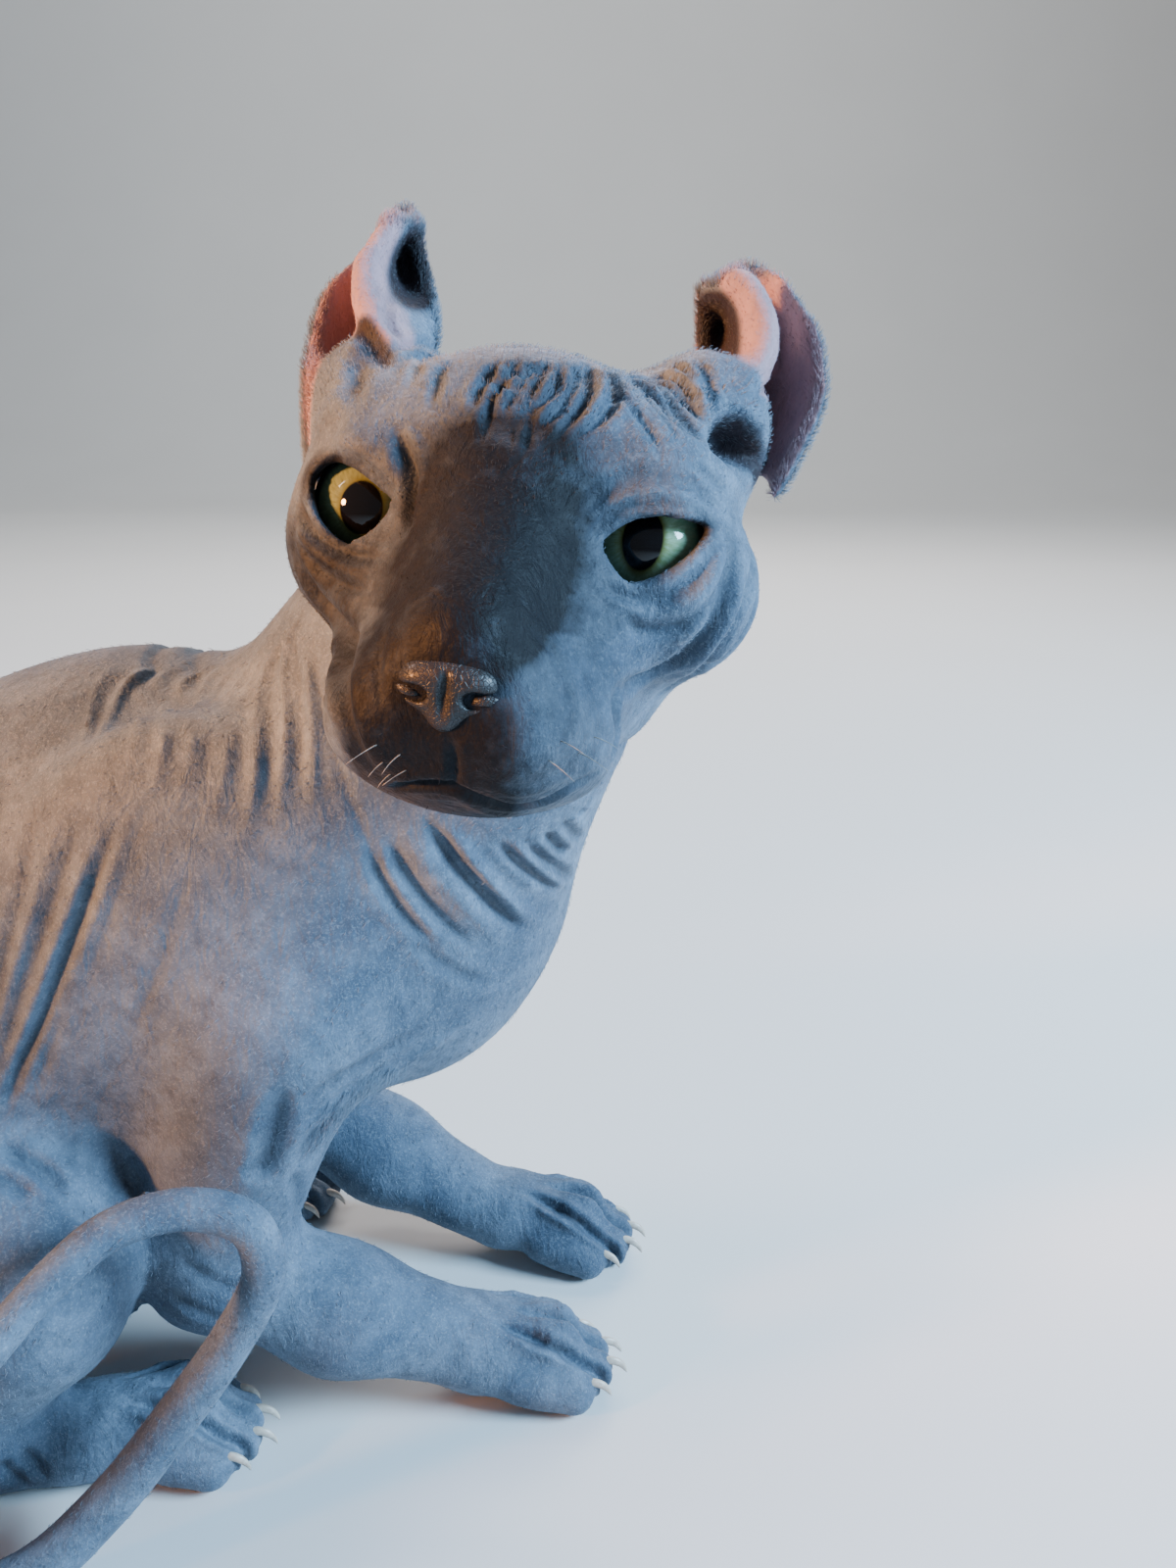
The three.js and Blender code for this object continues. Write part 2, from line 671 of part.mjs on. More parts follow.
function tailLength(start, end, grow = 0) {
  const length = tailCurve.getLength();
  const rings = Math.max(4, Math.round((end - start) * length / 9));
  const from = Math.max(0, start - grow / length);
  const to = Math.min(1, end + grow / length);
  const roundTip = end >= 1 ? 3 : 0;
  const places = [];
  for (let n = 0; n <= rings; n += 1) {
    const t = lerp(from, to, n / rings);
    places.push({ t, radius: tailRadius(t) + grow, push: 0 });
  }
  for (let n = 1; n <= roundTip; n += 1) {
    const angle = n / (roundTip + 1) * Math.PI / 2;
    const radius = tailRadius(1) + grow;
    places.push({ t: 1, radius: radius * Math.cos(angle), push: radius * Math.sin(angle) });
  }
  const positions = [];
  for (const { t, radius, push } of places) {
    const middle = tailCurve.getPointAt(t);
    const way = tailCurve.getTangentAt(t);
    const side = new THREE.Vector3().crossVectors(new THREE.Vector3(0.2, 0.1, 1), way).normalize();
    const rise = new THREE.Vector3().crossVectors(way, side);
    middle.addScaledVector(way, push);
    for (let n = 0; n < TAIL_SIDES; n += 1) {
      const angle = (n + 0.5) / TAIL_SIDES * Math.PI * 2;
      const spot = middle.clone().addScaledVector(side, radius * Math.cos(angle))
        .addScaledVector(rise, radius * Math.sin(angle));
      positions.push(...spot.toArray());
    }
  }
  const first = places[0];
  const last = places[places.length - 1];
  const foot = tailCurve.getPointAt(first.t);
  const head = tailCurve.getPointAt(last.t)
    .addScaledVector(tailCurve.getTangentAt(last.t), last.push + last.radius * (roundTip ? 0.3 : 0));
  positions.push(...foot.toArray(), ...head.toArray());
  const triangles = [];
  const count = places.length;
  for (let n = 0; n < TAIL_SIDES; n += 1) {
    const next = (n + 1) % TAIL_SIDES;
    for (let ring = 0; ring < count - 1; ring += 1) {
      const low = ring * TAIL_SIDES;
      const high = low + TAIL_SIDES;
      triangles.push(low + n, low + next, high + next, low + n, high + next, high + n);
    }
    const top = (count - 1) * TAIL_SIDES;
    triangles.push(count * TAIL_SIDES, next, n, count * TAIL_SIDES + 1, top + n, top + next);
  }
  const geometry = new THREE.BufferGeometry();
  geometry.setAttribute('position', new THREE.Float32BufferAttribute(positions, 3));
  geometry.setIndex(triangles);
  return solid(geometry);
}

const TAIL_PARTS = [
  ['tail_base', 0.0, 0.16], ['tail_middle', 0.16, 0.4], ['tail_lower', 0.4, 0.6],
  ['tail_rise', 0.6, 0.77], ['tail_bend', 0.77, 0.89], ['tail_tip', 0.89, 1.0],
];

// Materials

function material(color, roughness) {
  return new THREE.MeshStandardMaterial({ color, roughness, metalness: 0 });
}

const skinMaterial = () => material(0x7d8590, 0.62);
const earMaterial = () => material(0xa08a92, 0.6);
const noseMaterial = () => material(0x1c1d22, 0.4);
const eyeMaterial = () => material(0x8fae6a, 0.08);

// Putting the cat together

const sides = { right: -1, left: 1 };
const pawHeel = { right: WRIST, left: [WRIST[0] + 7, WRIST[1], WRIST[2]] };
const trunkFlesh = blend([...trunkForms(), headForm()], 16);
const legForms = {};
for (const [name, side] of Object.entries(sides)) {
  legForms[`foreleg_${name}`] = blend(forelegForms(side), 9);
  legForms[`hind_leg_${name}`] = blend(hindLegForms(side), 12);
}
const paws = [];
for (const [name, side] of Object.entries(sides)) {
  const fore = sided(pawHeel[name], side);
  const hind = sided([HIND_TOES[0] - PAW_LENGTH * 0.7, HIND_TOES[1] + 2, 10.2], side);
  paws.push({
    node: `fore_paw_${name}`, leg: `foreleg_${name}`, heel: fore, heading: side * -6, side });
  paws.push({
    node: `hind_paw_${name}`, leg: `hind_leg_${name}`, heel: hind, heading: side * -5, side });
}
const pawFlesh = paws.map((paw) => blend(pawForms(paw.heel, paw.heading, paw.side), 3.4));

// Each limb runs smoothly into the trunk, but not into the limb beside it

function join(value, other, softness) {
  const h = Math.max(softness - Math.abs(value - other), 0) / softness;
  return Math.min(value, other) - h * h * softness / 4;
}

function flesh(x, y, z) {
  const trunk = trunkFlesh(x, y, z);
  let value = trunk;
  for (const leg of Object.values(legForms)) {
    value = Math.min(value, join(trunk, leg(x, y, z), LEG_SOFTNESS));
  }
  for (const paw of pawFlesh) {
    value = join(value, paw(x, y, z), 6);
  }
  return value;
}

function bodyWith(leg, pawNode) {
  const n = paws.findIndex((paw) => paw.node === pawNode);
  return (x, y, z) => join(
    join(trunkFlesh(x, y, z), legForms[leg](x, y, z), LEG_SOFTNESS), pawFlesh[n](x, y, z), 6);
}

const floor = boxSolid([-600, -400, -60], [400, 400, 0]);
const wholeBox = new THREE.Box3(new THREE.Vector3(-285, -96, -4), new THREE.Vector3(60, 96, 265));
const coarse = surfaceSolid(flesh, wholeBox, BODY_CELL).subtract(floor);

// Cutting planes of the head and neck, each with the direction of the part that it takes

const headPlane = { place: onHead([0, 33, -18]), way: [0.05, -0.82, 0.57] };
const neckPlane = { place: [-55, -2, 150], way: [0.66, -0.14, 0.74] };

const parts = [];
function keep(name, shape, look) {
  parts.push({ name, shape: largest(shape), look });
}

function fine(low, high, cell, form) {
  return surfaceSolid(form, new THREE.Box3(point(low), point(high)), cell).subtract(floor);
}

const headBlock = beyond(headPlane.place, headPlane.way);
const headGrown = beyond(headPlane.place, headPlane.way, GAP);
const neckBlock = beyond(neckPlane.place, neckPlane.way);
const neckGrown = beyond(neckPlane.place, neckPlane.way, GAP);

let head = fine([-66, -116, 168], [44, -10, 258], HEAD_CELL, trunkFlesh).intersect(headBlock);
for (const side of Object.values(sides)) {
  head = head.add(lidSolid(side).intersect(headBlock));
}
for (const side of Object.values(sides)) {
  head = head.subtract(socketSolid(side)).subtract(eyeOpening(side));
}
head = head.subtract(mouthGrooves()).subtract(noseSolid(GAP));
keep('head', head, skinMaterial);
keep('nose', noseSolid(0).subtract(nostrilSolid(-1)).subtract(nostrilSolid(1)), noseMaterial);
for (const [name, side] of Object.entries(sides)) {
  const radii = [EYE_RADIUS, EYE_RADIUS, EYE_RADIUS];
  keep(`eye_${name}`, ballSolid(onHead(eyeCenter(side)), radii, 16, 10), eyeMaterial);
}
const headShell = fine([-66, -116, 168], [44, -10, 258], HEAD_CELL, trunkFlesh);
for (const [name, ear] of Object.entries(EARS)) {
  keep(`ear_${name}`, earSolid(ear).subtract(headShell), earMaterial);
}

function shouldered(x, y, z) {
  const value = trunkFlesh(x, y, z);
  return Math.min(...Object.keys(sides).map(
    (name) => join(value, legForms[`foreleg_${name}`](x, y, z), LEG_SOFTNESS)));
}

const neck = fine([-110, -80, 90], [50, 60, 258], NECK_CELL, shouldered).intersect(neckBlock)
  .subtract(headGrown);
keep('neck', neck, skinMaterial);

let rest = coarse.subtract(neckGrown);

// Takes a leg off the body, and parts it by a plane below which the finer mesh is used

function part([upper, lower], region, lowerFlesh, place, down) {
  const leg = region(0);
  keep(upper, rest.intersect(leg).subtract(beyond(place, down, GAP)), skinMaterial);
  keep(lower, lowerFlesh.intersect(leg).intersect(beyond(place, down)), skinMaterial);
  rest = rest.subtract(region(GAP));
}

const corridorOf = {};
for (const { node, heel: [x, y, z] } of paws) {
  const tip = node.startsWith('fore') ? [0.9, 0, -0.42] : [1, 0, 0];
  const width = 24;
  corridorOf[node] = (grow) => beyond([x + 4, y, z], tip, grow).intersect(
    boxSolid([x - 30, y - width - grow, -2], [x + 70, y + width + grow, 34 + grow]));
  rest = rest.subtract(corridorOf[node](GAP));
}
paws.forEach((paw, n) => {
  const [x, y] = paw.heel;
  const leg = legForms[paw.leg];
  const form = (px, py, pz) => join(leg(px, py, pz), pawFlesh[n](px, py, pz), 6);
  let foot = fine([x - 16, y - 28, -4], [x + 50, y + 28, 36], PAW_CELL, form);
  for (const claw of clawSolids(paw.heel, paw.heading, paw.side)) {
    foot = foot.add(claw);
  }
  keep(paw.node, foot.intersect(corridorOf[paw.node](0)), skinMaterial);
});

for (const [name, side] of Object.entries(sides)) {
  const foreleg = (grow) => sideSlab([-84, 140], [-86, 50], 42, 24, 28, side, grow)
    .add(sideSlab([-90, 45], [-24, 17], 20, 18, 13, side, grow))
    .intersect(beyond([LEG_PARTING + GAP / 2, 0, 0], [1, 0, 0], grow));
  const hindLeg = (grow) => sideSlab([-206, 94], [-128, 64], 57, 36, 33, side, grow)
    .add(sideSlab([-200, 20], [-128, 40], 24, 30, 33, side, grow))
    .intersect(beyond([LEG_PARTING - GAP / 2, 0, 0], [-1, 0, 0], grow));
  const forearm = fine([-112, side * 40 - 30, -4], [0, side * 40 + 30, 72], LIMB_CELL,
    bodyWith(`foreleg_${name}`, `fore_paw_${name}`)).subtract(corridorOf[`fore_paw_${name}`](GAP));
  const shank = fine([-230, side * 56 - 32, -4], [-70, side * 56 + 32, 56], LIMB_CELL,
    bodyWith(`hind_leg_${name}`, `hind_paw_${name}`)).subtract(corridorOf[`hind_paw_${name}`](GAP));
  part([`upper_arm_${name}`, `forearm_${name}`], foreleg, forearm, [-84, 0, 58], [0.2, 0, -1]);
  part([`thigh_${name}`, `shank_${name}`], hindLeg, shank, [-150, 0, 35], [0.12, 0, -1]);
}

const tailBaseGrown = tailLength(0, 0.16, GAP);
rest = rest.subtract(tailBaseGrown);
const loins = beyond([-138, 0, 100], [-1, 0, 0]);
keep('torso_rear', rest.intersect(loins), skinMaterial);
keep('torso_front', rest.subtract(beyond([-138, 0, 100], [-1, 0, 0], GAP)), skinMaterial);
for (const [name, start, end] of TAIL_PARTS) {
  const gapShare = end < 1 ? GAP / tailCurve.getLength() : 0;
  keep(name, tailLength(start, end - gapShare), skinMaterial);
}

const cat = new THREE.Group();
cat.name = 'sphynx_cat';
for (const { name, shape, look } of parts) {
  const mesh = new THREE.Mesh(geometryOf(shape), look());
  mesh.name = name;
  cat.add(mesh);
}
const extent = new THREE.Box3().setFromObject(cat);
const middle = extent.getCenter(new THREE.Vector3());
cat.position.set(-middle.x, -middle.y, -extent.min.z);

export default cat;
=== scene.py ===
# A sphynx cat crouching on a plain studio floor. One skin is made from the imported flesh, drawn
# onto its smooth forms and folded as the photograph shows, with eyes, nose, claws, whiskers and
# down as pieces of their own. Sizes are millimetres in the cat's own frame, but for materials,
# the floor and the lights, which are in metres.

import json
import math

import bpy
import numpy as np
from mathutils import Matrix, Vector
from mathutils.bvhtree import BVHTree

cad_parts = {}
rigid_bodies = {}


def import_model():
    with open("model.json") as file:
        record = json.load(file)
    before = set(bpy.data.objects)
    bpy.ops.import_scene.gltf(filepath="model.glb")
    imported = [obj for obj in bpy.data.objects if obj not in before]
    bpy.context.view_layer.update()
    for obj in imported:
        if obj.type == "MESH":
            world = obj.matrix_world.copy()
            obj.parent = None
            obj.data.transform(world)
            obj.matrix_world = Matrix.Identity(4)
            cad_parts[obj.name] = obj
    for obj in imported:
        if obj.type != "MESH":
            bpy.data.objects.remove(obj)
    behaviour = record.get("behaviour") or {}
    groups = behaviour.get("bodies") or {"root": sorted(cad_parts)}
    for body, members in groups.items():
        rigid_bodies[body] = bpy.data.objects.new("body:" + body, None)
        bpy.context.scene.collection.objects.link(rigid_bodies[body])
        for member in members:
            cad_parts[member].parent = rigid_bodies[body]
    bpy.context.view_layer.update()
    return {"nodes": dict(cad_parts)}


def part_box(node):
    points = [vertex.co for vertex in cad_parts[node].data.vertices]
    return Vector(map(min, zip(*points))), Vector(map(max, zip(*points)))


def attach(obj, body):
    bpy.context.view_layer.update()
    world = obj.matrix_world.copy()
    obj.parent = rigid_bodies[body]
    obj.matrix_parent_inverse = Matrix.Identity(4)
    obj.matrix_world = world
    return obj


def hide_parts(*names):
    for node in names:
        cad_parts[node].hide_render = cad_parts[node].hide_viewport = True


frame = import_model()

# Driving sizes

GRAIN = 0.9
HEAD_PLACE = (-12.5, -69, 220.2)
HEAD_YAW = -5
HEAD_PITCH = -9.7
HEAD_ROLL = 7
EYE_SPREAD = 22.5
EYE_RADIUS = 11
EYE_DEPTH = 1.8
CHEEK = 41
CROWN = 31
NOSE_TIP = (0, -40, -25)
NOSE_WIDTH = 14.4
NOSE_GRAIN = 0.35
CHIN_DROP = 43.5
EAR_THICKNESS = 2.3
LID_WIDTH = 0.9
LID_HEIGHT = 0.6
HEAD_TRIANGLES = 98000
FOLD_TRIANGLES = 50000
REST_TRIANGLES = 42000
PAW_LENGTH = 34
PAW_WIDTH = 29
TAIL_RADII = (9, 3.6)
LID_THICKNESS = 2.3
EYE_GAP = 0.15
SIDES = {"right": -1, "left": 1}

# How softly the forms run into each other

FACE_BLEND = 9
TRUNK_BLEND = 16
FORELEG_BLEND = 9
HIND_LEG_BLEND = 12
PAW_BLEND = 3.4
HIP_BLEND = 15
WRIST_BLEND = 6
TAIL_BLEND = 4
WEB_BLEND = 9
LID_BLEND = 5
OPENING_BLEND = 1.6

CAMERA_PLACE = np.array((0, -265, 240.0))
CAMERA_TILT = math.radians(18)
PHOTO_WIDTH = 1200
PHOTO_HEIGHT = 1600
FOCAL_PIXELS = 1200

# Frames: the head's own frame (x to the cat's left, y to its back) and the camera's

head_turn = np.array(
    Matrix.Rotation(math.radians(HEAD_YAW), 3, "Z")
    @ Matrix.Rotation(math.radians(HEAD_PITCH), 3, "X")
    @ Matrix.Rotation(math.radians(HEAD_ROLL), 3, "Y"))
head_place = np.array(HEAD_PLACE)
forward = np.array((0, math.cos(CAMERA_TILT), -math.sin(CAMERA_TILT)))
upward = np.array((0, math.sin(CAMERA_TILT), math.cos(CAMERA_TILT)))
rightward = np.array((1.0, 0, 0))


def on_head(place):
    return np.asarray(place, float) @ head_turn.T + head_place


def in_head(points):
    return (points - head_place) @ head_turn


def on_ray(x, y, depth):
    """The place that shows at a pixel of the photograph, so far in front of the camera."""
    across = (x - PHOTO_WIDTH / 2) / FOCAL_PIXELS
    rise = (PHOTO_HEIGHT / 2 - y) / FOCAL_PIXELS
    return CAMERA_PLACE + depth * (forward + rightward * across + upward * rise)


def on_ball(x, y, center, radius):
    """The place that shows at a pixel, on a ball."""
    way = on_ray(x, y, 1.0) - CAMERA_PLACE
    way = way / np.linalg.norm(way)
    near = (center - CAMERA_PLACE) @ way
    aside = np.linalg.norm(CAMERA_PLACE + way * near - center)
    return CAMERA_PLACE + way * (near - math.sqrt(max(radius ** 2 - aside ** 2, 0)))


def pixels(points):
    away = points - CAMERA_PLACE
    depth = away @ forward
    x = PHOTO_WIDTH / 2 + FOCAL_PIXELS * (away @ rightward) / depth
    y = PHOTO_HEIGHT / 2 - FOCAL_PIXELS * (away @ upward) / depth
    return x, y, depth


def eye_center(side):
    return on_head((side * EYE_SPREAD, EYE_DEPTH, 0))


low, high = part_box("eye_left")
SHIFT = np.array((low + high) / 2) * 1000 - eye_center(1)

# Forms of the flesh: each gives the distance from its surface, less than nothing inside


def length(vectors):
    return np.sqrt(np.einsum("ij,ij->i", vectors, vectors))


def unit(vectors):
    return vectors / np.maximum(np.linalg.norm(vectors, axis=1), 1e-9)[:, None]


def inside_box(points, low, high):
    return np.nonzero(np.all((points > low) & (points < high), axis=1))[0]


def within(form, low, high, margin=28):
    """The form, worked out only in a box round it and taken as far away elsewhere."""
    low = np.array(low, float) - margin
    high = np.array(high, float) + margin

    def boxed(points):
        value = np.full(len(points), float(margin))
        close = inside_box(points, low, high)
        value[close] = form(points[close])
        return value
    return boxed


def turned(turn):
    x, y, z = (math.radians(angle) for angle in turn)
    return np.array(
        Matrix.Rotation(x, 3, "X") @ Matrix.Rotation(y, 3, "Y") @ Matrix.Rotation(z, 3, "Z"))


def egg(center, radii, turn=(0, 0, 0)):
    middle = np.array(center, float)
    size = np.array(radii, float)
    axes = turned(turn)

    def form(points):
        local = (points - middle) @ axes / size
        near = length(local)
        slope = length(local / size)
        return near * (near - 1) / np.maximum(slope, 1e-9)
    return within(form, middle - max(radii), middle + max(radii))


def limb(start, end, start_radius, end_radius):
    first = np.array(start, float)
    way = np.array(end, float) - first

    def form(points):
        along = np.clip((points - first) @ way / (way @ way), 0, 1)
        off = length(points - first - along[:, None] * way)
        return off - (start_radius + (end_radius - start_radius) * along)
    ends = np.array((start, end), float)
    wide = max(start_radius, end_radius)
    return within(form, ends.min(0) - wide, ends.max(0) + wide)


def join(value, other, softness):
    h = np.maximum(softness - np.abs(value - other), 0) / softness
    return np.minimum(value, other) - h * h * softness / 4


def carve(value, other, softness):
    return -join(-value, other, softness)


def blend(forms, softness):
    def form(points):
        value = forms[0](points)
        for other in forms[1:]:
            value = join(value, other(points), softness)
        return value
    return form


def smooth(low, high, value):
    t = np.clip((value - low) / (high - low), 0, 1)
    return t * t * (3 - 2 * t)


def head_form():
    nose_y, nose_z = NOSE_TIP[1:]
    forms = [
        egg((0, 20, CROWN - 27), (33, 36, 27)),
        egg((0, 3, 9), (23, 15, 17)),
        egg((0, 42, -8), (25, 17, 24)),
        limb((0, -6, -8), (0, -22, -20), 18, 13.5),
        limb((0, -4, 9), (0, nose_y + 7.5, nose_z + 7.5), 9.5, 6.4),
        egg((0, -20, -CHIN_DROP + 7.5), (10, 9.5, 7.5)),
    ]
    for side in (-1, 1):
        forms += [
            egg((side * (CHEEK - 17) + 1.8, 8, -6), (16, 22, 15.5)),
            egg((side * 13, -9, -19), (10, 12, 12)),
            egg((side * 20, -1, 13), (13, 9, 6.5)),
            egg((side * 8.3, nose_y + 12.5, -29), (9.2, 9.8, 8.8)),
            egg((side * 12, -15.5, -32.5), (10.2, 10.5, 8.6)),
            limb((side * 16, 12, -24), (side * 3, -13, -31.5), 11.5, 9.5),
            egg((side * (28 if side > 0 else 29), 17, 21 if side > 0 else 17), (12, 13, 14)),
        ]
    face = blend(forms, FACE_BLEND)
    middle = on_head((0, 5, -5))
    return within(lambda points: face(in_head(points)), middle - 60, middle + 60, 20)


def trunk_forms():
    return [
        egg((-222, 0, 104), (38, 47, 58)),
        egg((-182, 0, 113), (52, 49, 66)),
        egg((-160, 0, 84), (62, 52, 60)),
        egg((-118, 0, 118), (54, 48, 65)),
        egg((-54, 0, 122), (45, 42, 43)),
        egg((-98, 0, 158), (26, 22, 27)),
        limb((-62, 0, 140), (-21, -15, 200), 43, 32),
        limb((-34, 0, 138), (-14, -20, 176), 29, 22),
        limb((-252, 0, 74), (-264, -6, 40), 18, 10),
    ]


def foreleg_forms(side):
    return [
        egg((-86, 36 * side, 138), (33, 15, 42), (0, 14, 0)),
        limb((-70, 33 * side, 112), (-88, 35 * side, 48), 23, 14.5),
        limb((-88, 35 * side, 48), (-60, 32 * side, 30), 14.5, 13.5),
        limb((-60, 32 * side, 30), (-27, 26 * side, 14), 13.5, 10.5),
    ]


def hind_leg_forms(side):
    return [
        egg((-203, 44 * side, 85), (48, 27, 50)),
        limb((-190, 44 * side, 84), (-124, 52 * side, 62), 36, 22.5),
        limb((-123, 53 * side, 50), (-146, 56 * side, 24), 19, 15),
        limb((-146, 56 * side, 24), (-192, 56 * side, 9.6), 15, 10),
        limb((-192, 56 * side, 9.6), (-120, 50 * side, 10), 10, 10.5),
    ]


# Each paw's side, wrist or ankle, and the way it points

PAWS = []
for side in SIDES.values():
    ahead = 7 if side > 0 else 0
    PAWS.append((side, (-27 + ahead, 26 * side, 14), side * -6))
    PAWS.append((side, (-87 - PAW_LENGTH * 0.7, 47 * side, 10.2), side * -5))


def paw_put(heel, heading):
    """What puts a place of a paw's own frame, forward along x, into the cat's."""
    turn = np.array(Matrix.Rotation(math.radians(heading), 3, "Z"))
    base = np.array((heel[0], heel[1], 0.0))
    return lambda place: np.asarray(place, float) @ turn.T + base


def toe_places(side):
    """How far to the side, how far forward and how far across each toe of a paw ends."""
    toes = []
    for n in range(4):
        spread = (n - 1.5) / 1.5
        reach = PAW_LENGTH * (0.8 if abs(n - 1.5) < 1 else 0.64) + spread * side * 0.8
        toes.append((spread, reach, spread * PAW_WIDTH * 0.34))
    return toes


def paw_forms(heel, heading, side):
    put = paw_put(heel, heading)
    forms = [
        limb(heel, put((PAW_LENGTH * 0.42, 0, 10.5)), 10.5, 10.8),
        egg(put((PAW_LENGTH * 0.45, 0, 7)), (12, PAW_WIDTH * 0.42, 9), (0, 0, heading)),
    ]
    for _, reach, across in toe_places(side):
        forms.append(limb(put((reach - 13, across * 0.8, 9)), put((reach, across, 5.6)), 5.4, 5.2))
    return forms


# Smooth curves through a few places


def curve_through(places, steps):
    """Points of a smooth curve through the places, evenly many between each two."""
    spots = [np.asarray(place, float) for place in places]
    spots = [2 * spots[0] - spots[1]] + spots + [2 * spots[-1] - spots[-2]]
    out = []
    for n in range(1, len(spots) - 2):
        a, b, c, d = spots[n - 1:n + 3]
        gaps = [max(np.linalg.norm(q - p), 1e-4) ** 0.5 for p, q in ((a, b), (b, c), (c, d))]
        u, v, w = gaps
        m1 = ((b - a) / u - (c - a) / (u + v) + (c - b) / v) * v
        m2 = ((c - b) / v - (d - b) / (v + w) + (d - c) / w) * v
        for k in range(steps):
            t = k / steps
            out.append((2 * t ** 3 - 3 * t ** 2 + 1) * b + (t ** 3 - 2 * t ** 2 + t) * m1
                       + (3 * t ** 2 - 2 * t ** 3) * c + (t ** 3 - t ** 2) * m2)
    out.append(spots[-2])
    return np.array(out)


TAIL_PLACES = [
    (-252, 0, 62), (-264, -8, 36), (-266, -30, 15), (-254, -62, 8.8), (-222, -84, 7.7),
    (-180, -94, 6.9), (-146, -93, 6.5), (-118, -84, 7.2), (-102, -75, 17.6), (-88, -69, 34),
    (-75, -65, 52), (-67, -65, 69), (-69, -66, 81.5), (-80, -69, 87.5), (-93, -75, 87),
    (-103, -84, 81), (-111, -93, 73.5), (-119, -101, 66)]
tail_line = curve_through(TAIL_PLACES, 12)


def line_shares(line):
    """How far along a line each of its points is, from 0 to 1."""
    steps = np.linalg.norm(np.diff(line, axis=0), axis=1)
    return np.concatenate(([0], np.cumsum(steps))) / max(steps.sum(), 1e-9)


def along_line(share, line, values):
    """The values given at a line's points, at any shares of its length."""
    known = line_shares(line)
    return np.stack([np.interp(share, known, values[:, n]) for n in range(3)], 1)


def to_line(points, line, reach):
    """How far the nearest part of a line is from each point, up to the reach, and how far along
    the line that part is."""
    best = np.full(len(points), float(reach))
    where = np.zeros(len(points))
    share = line_shares(line)
    run = 6
    for first in range(0, len(line) - 1, run):
        last = min(first + run, len(line) - 1)
        stretch = line[first:last + 1]
        close = inside_box(points, stretch.min(0) - reach, stretch.max(0) + reach)
        spots = points[close]
        for n in range(first, last):
            way = line[n + 1] - line[n]
            along = np.clip((spots - line[n]) @ way / max(way @ way, 1e-9), 0, 1)
            off = length(spots - line[n] - along[:, None] * way)
            nearer = off < best[close]
            chosen = close[nearer]
            best[chosen] = off[nearer]
            where[chosen] = share[n] + along[nearer] * (share[n + 1] - share[n])
    return best, where


def tail_form(points):
    off, along = to_line(points, tail_line, 22)
    thick, thin = TAIL_RADII
    return off - (thick + (thin - thick) * along ** 0.8)


# The openings of the eyes, as the photograph shows them

EYE_OPENINGS = {
    -1: [(321, 507), (324, 485), (341, 472), (362, 476), (383, 491), (403, 512), (424, 549),
         (398, 562), (368, 560), (345, 549), (328, 530)],
    1: [(596, 579), (609, 559), (628, 541), (648, 530), (668, 526), (690, 528), (707, 533),
        (719, 539), (710, 557), (691, 575), (668, 588), (645, 595), (623, 595), (607, 589)],
}


def inside_ring(flat, ring):
    """Which flat points lie inside a closed ring."""
    x, y = flat.T
    inside = np.zeros(len(flat), bool)
    for (ax, ay), (bx, by) in zip(ring[:-1], ring[1:]):
        crosses = (ay > y) != (by > y)
        rise = by - ay if abs(by - ay) > 1e-9 else 1e-9
        inside ^= crosses & (x < (bx - ax) * (y - ay) / rise + ax)
    return inside


def opening_form(side):
    """The part of space near an eye that shows through its opening."""
    corners = EYE_OPENINGS[side]
    ring = curve_through([np.array(p, float) for p in corners + corners[:1]], 5)
    middle = eye_center(side)

    def form(points):
        value = np.full(len(points), 30.0)
        away = np.linalg.norm(points - middle, axis=1)
        close = away < 24
        x, y, depth = pixels(points[close])
        flat = np.stack((x, y), 1)
        off, _ = to_line(flat, ring, 150)
        signed = np.where(inside_ring(flat, ring), -off, off) * depth / FOCAL_PIXELS
        value[close] = np.maximum(signed, away[close] - 17)
        return value
    return form


trunk = blend(trunk_forms() + [head_form()], TRUNK_BLEND)
legs = [blend(foreleg_forms(side), FORELEG_BLEND) for side in SIDES.values()]
legs += [blend(hind_leg_forms(side), HIND_LEG_BLEND) for side in SIDES.values()]
paws = [blend(paw_forms(heel, heading, side), PAW_BLEND) for side, heel, heading in PAWS]
# Webs of skin: from each knee to its elbow, and behind each shank
webs = [limb((-118, 46 * side, 62), (-95, 37 * side, 57), 9, 9) for side in SIDES.values()]
webs += [limb((-142, 54 * side, 38), (-186, 55 * side, 17), 14, 8) for side in SIDES.values()]
openings = {side: opening_form(side) for side in SIDES.values()}


def flesh(points):
    body = trunk(points)
    value = body
    for leg in legs:
        value = np.minimum(value, join(body, leg(points), HIP_BLEND))
    for paw in paws:
        value = join(value, paw(points), WRIST_BLEND)
    value = join(value, tail_form(points), TAIL_BLEND)
    for web in webs:
        value = join(value, web(points), WEB_BLEND)
    away = {side: np.linalg.norm(points - eye_center(side), axis=1)
            for side in SIDES.values()}
    for off in away.values():
        value = join(value, off - (EYE_RADIUS + LID_THICKNESS), LID_BLEND)
    for side, off in away.items():
        value = carve(value, openings[side](points), OPENING_BLEND)
        value = np.maximum(value, EYE_RADIUS + EYE_GAP - off)
    return np.maximum(value, -points[:, 2])


# Meshes as arrays


def raw_points(data):
    places = np.zeros(len(data.vertices) * 3)
    data.vertices.foreach_get("co", places)
    return places.reshape(-1, 3)


def put_points(data, points):
    """Gives a mesh its points, from places in the cat's frame."""
    data.vertices.foreach_set("co", ((points + SHIFT) / 1000).ravel())


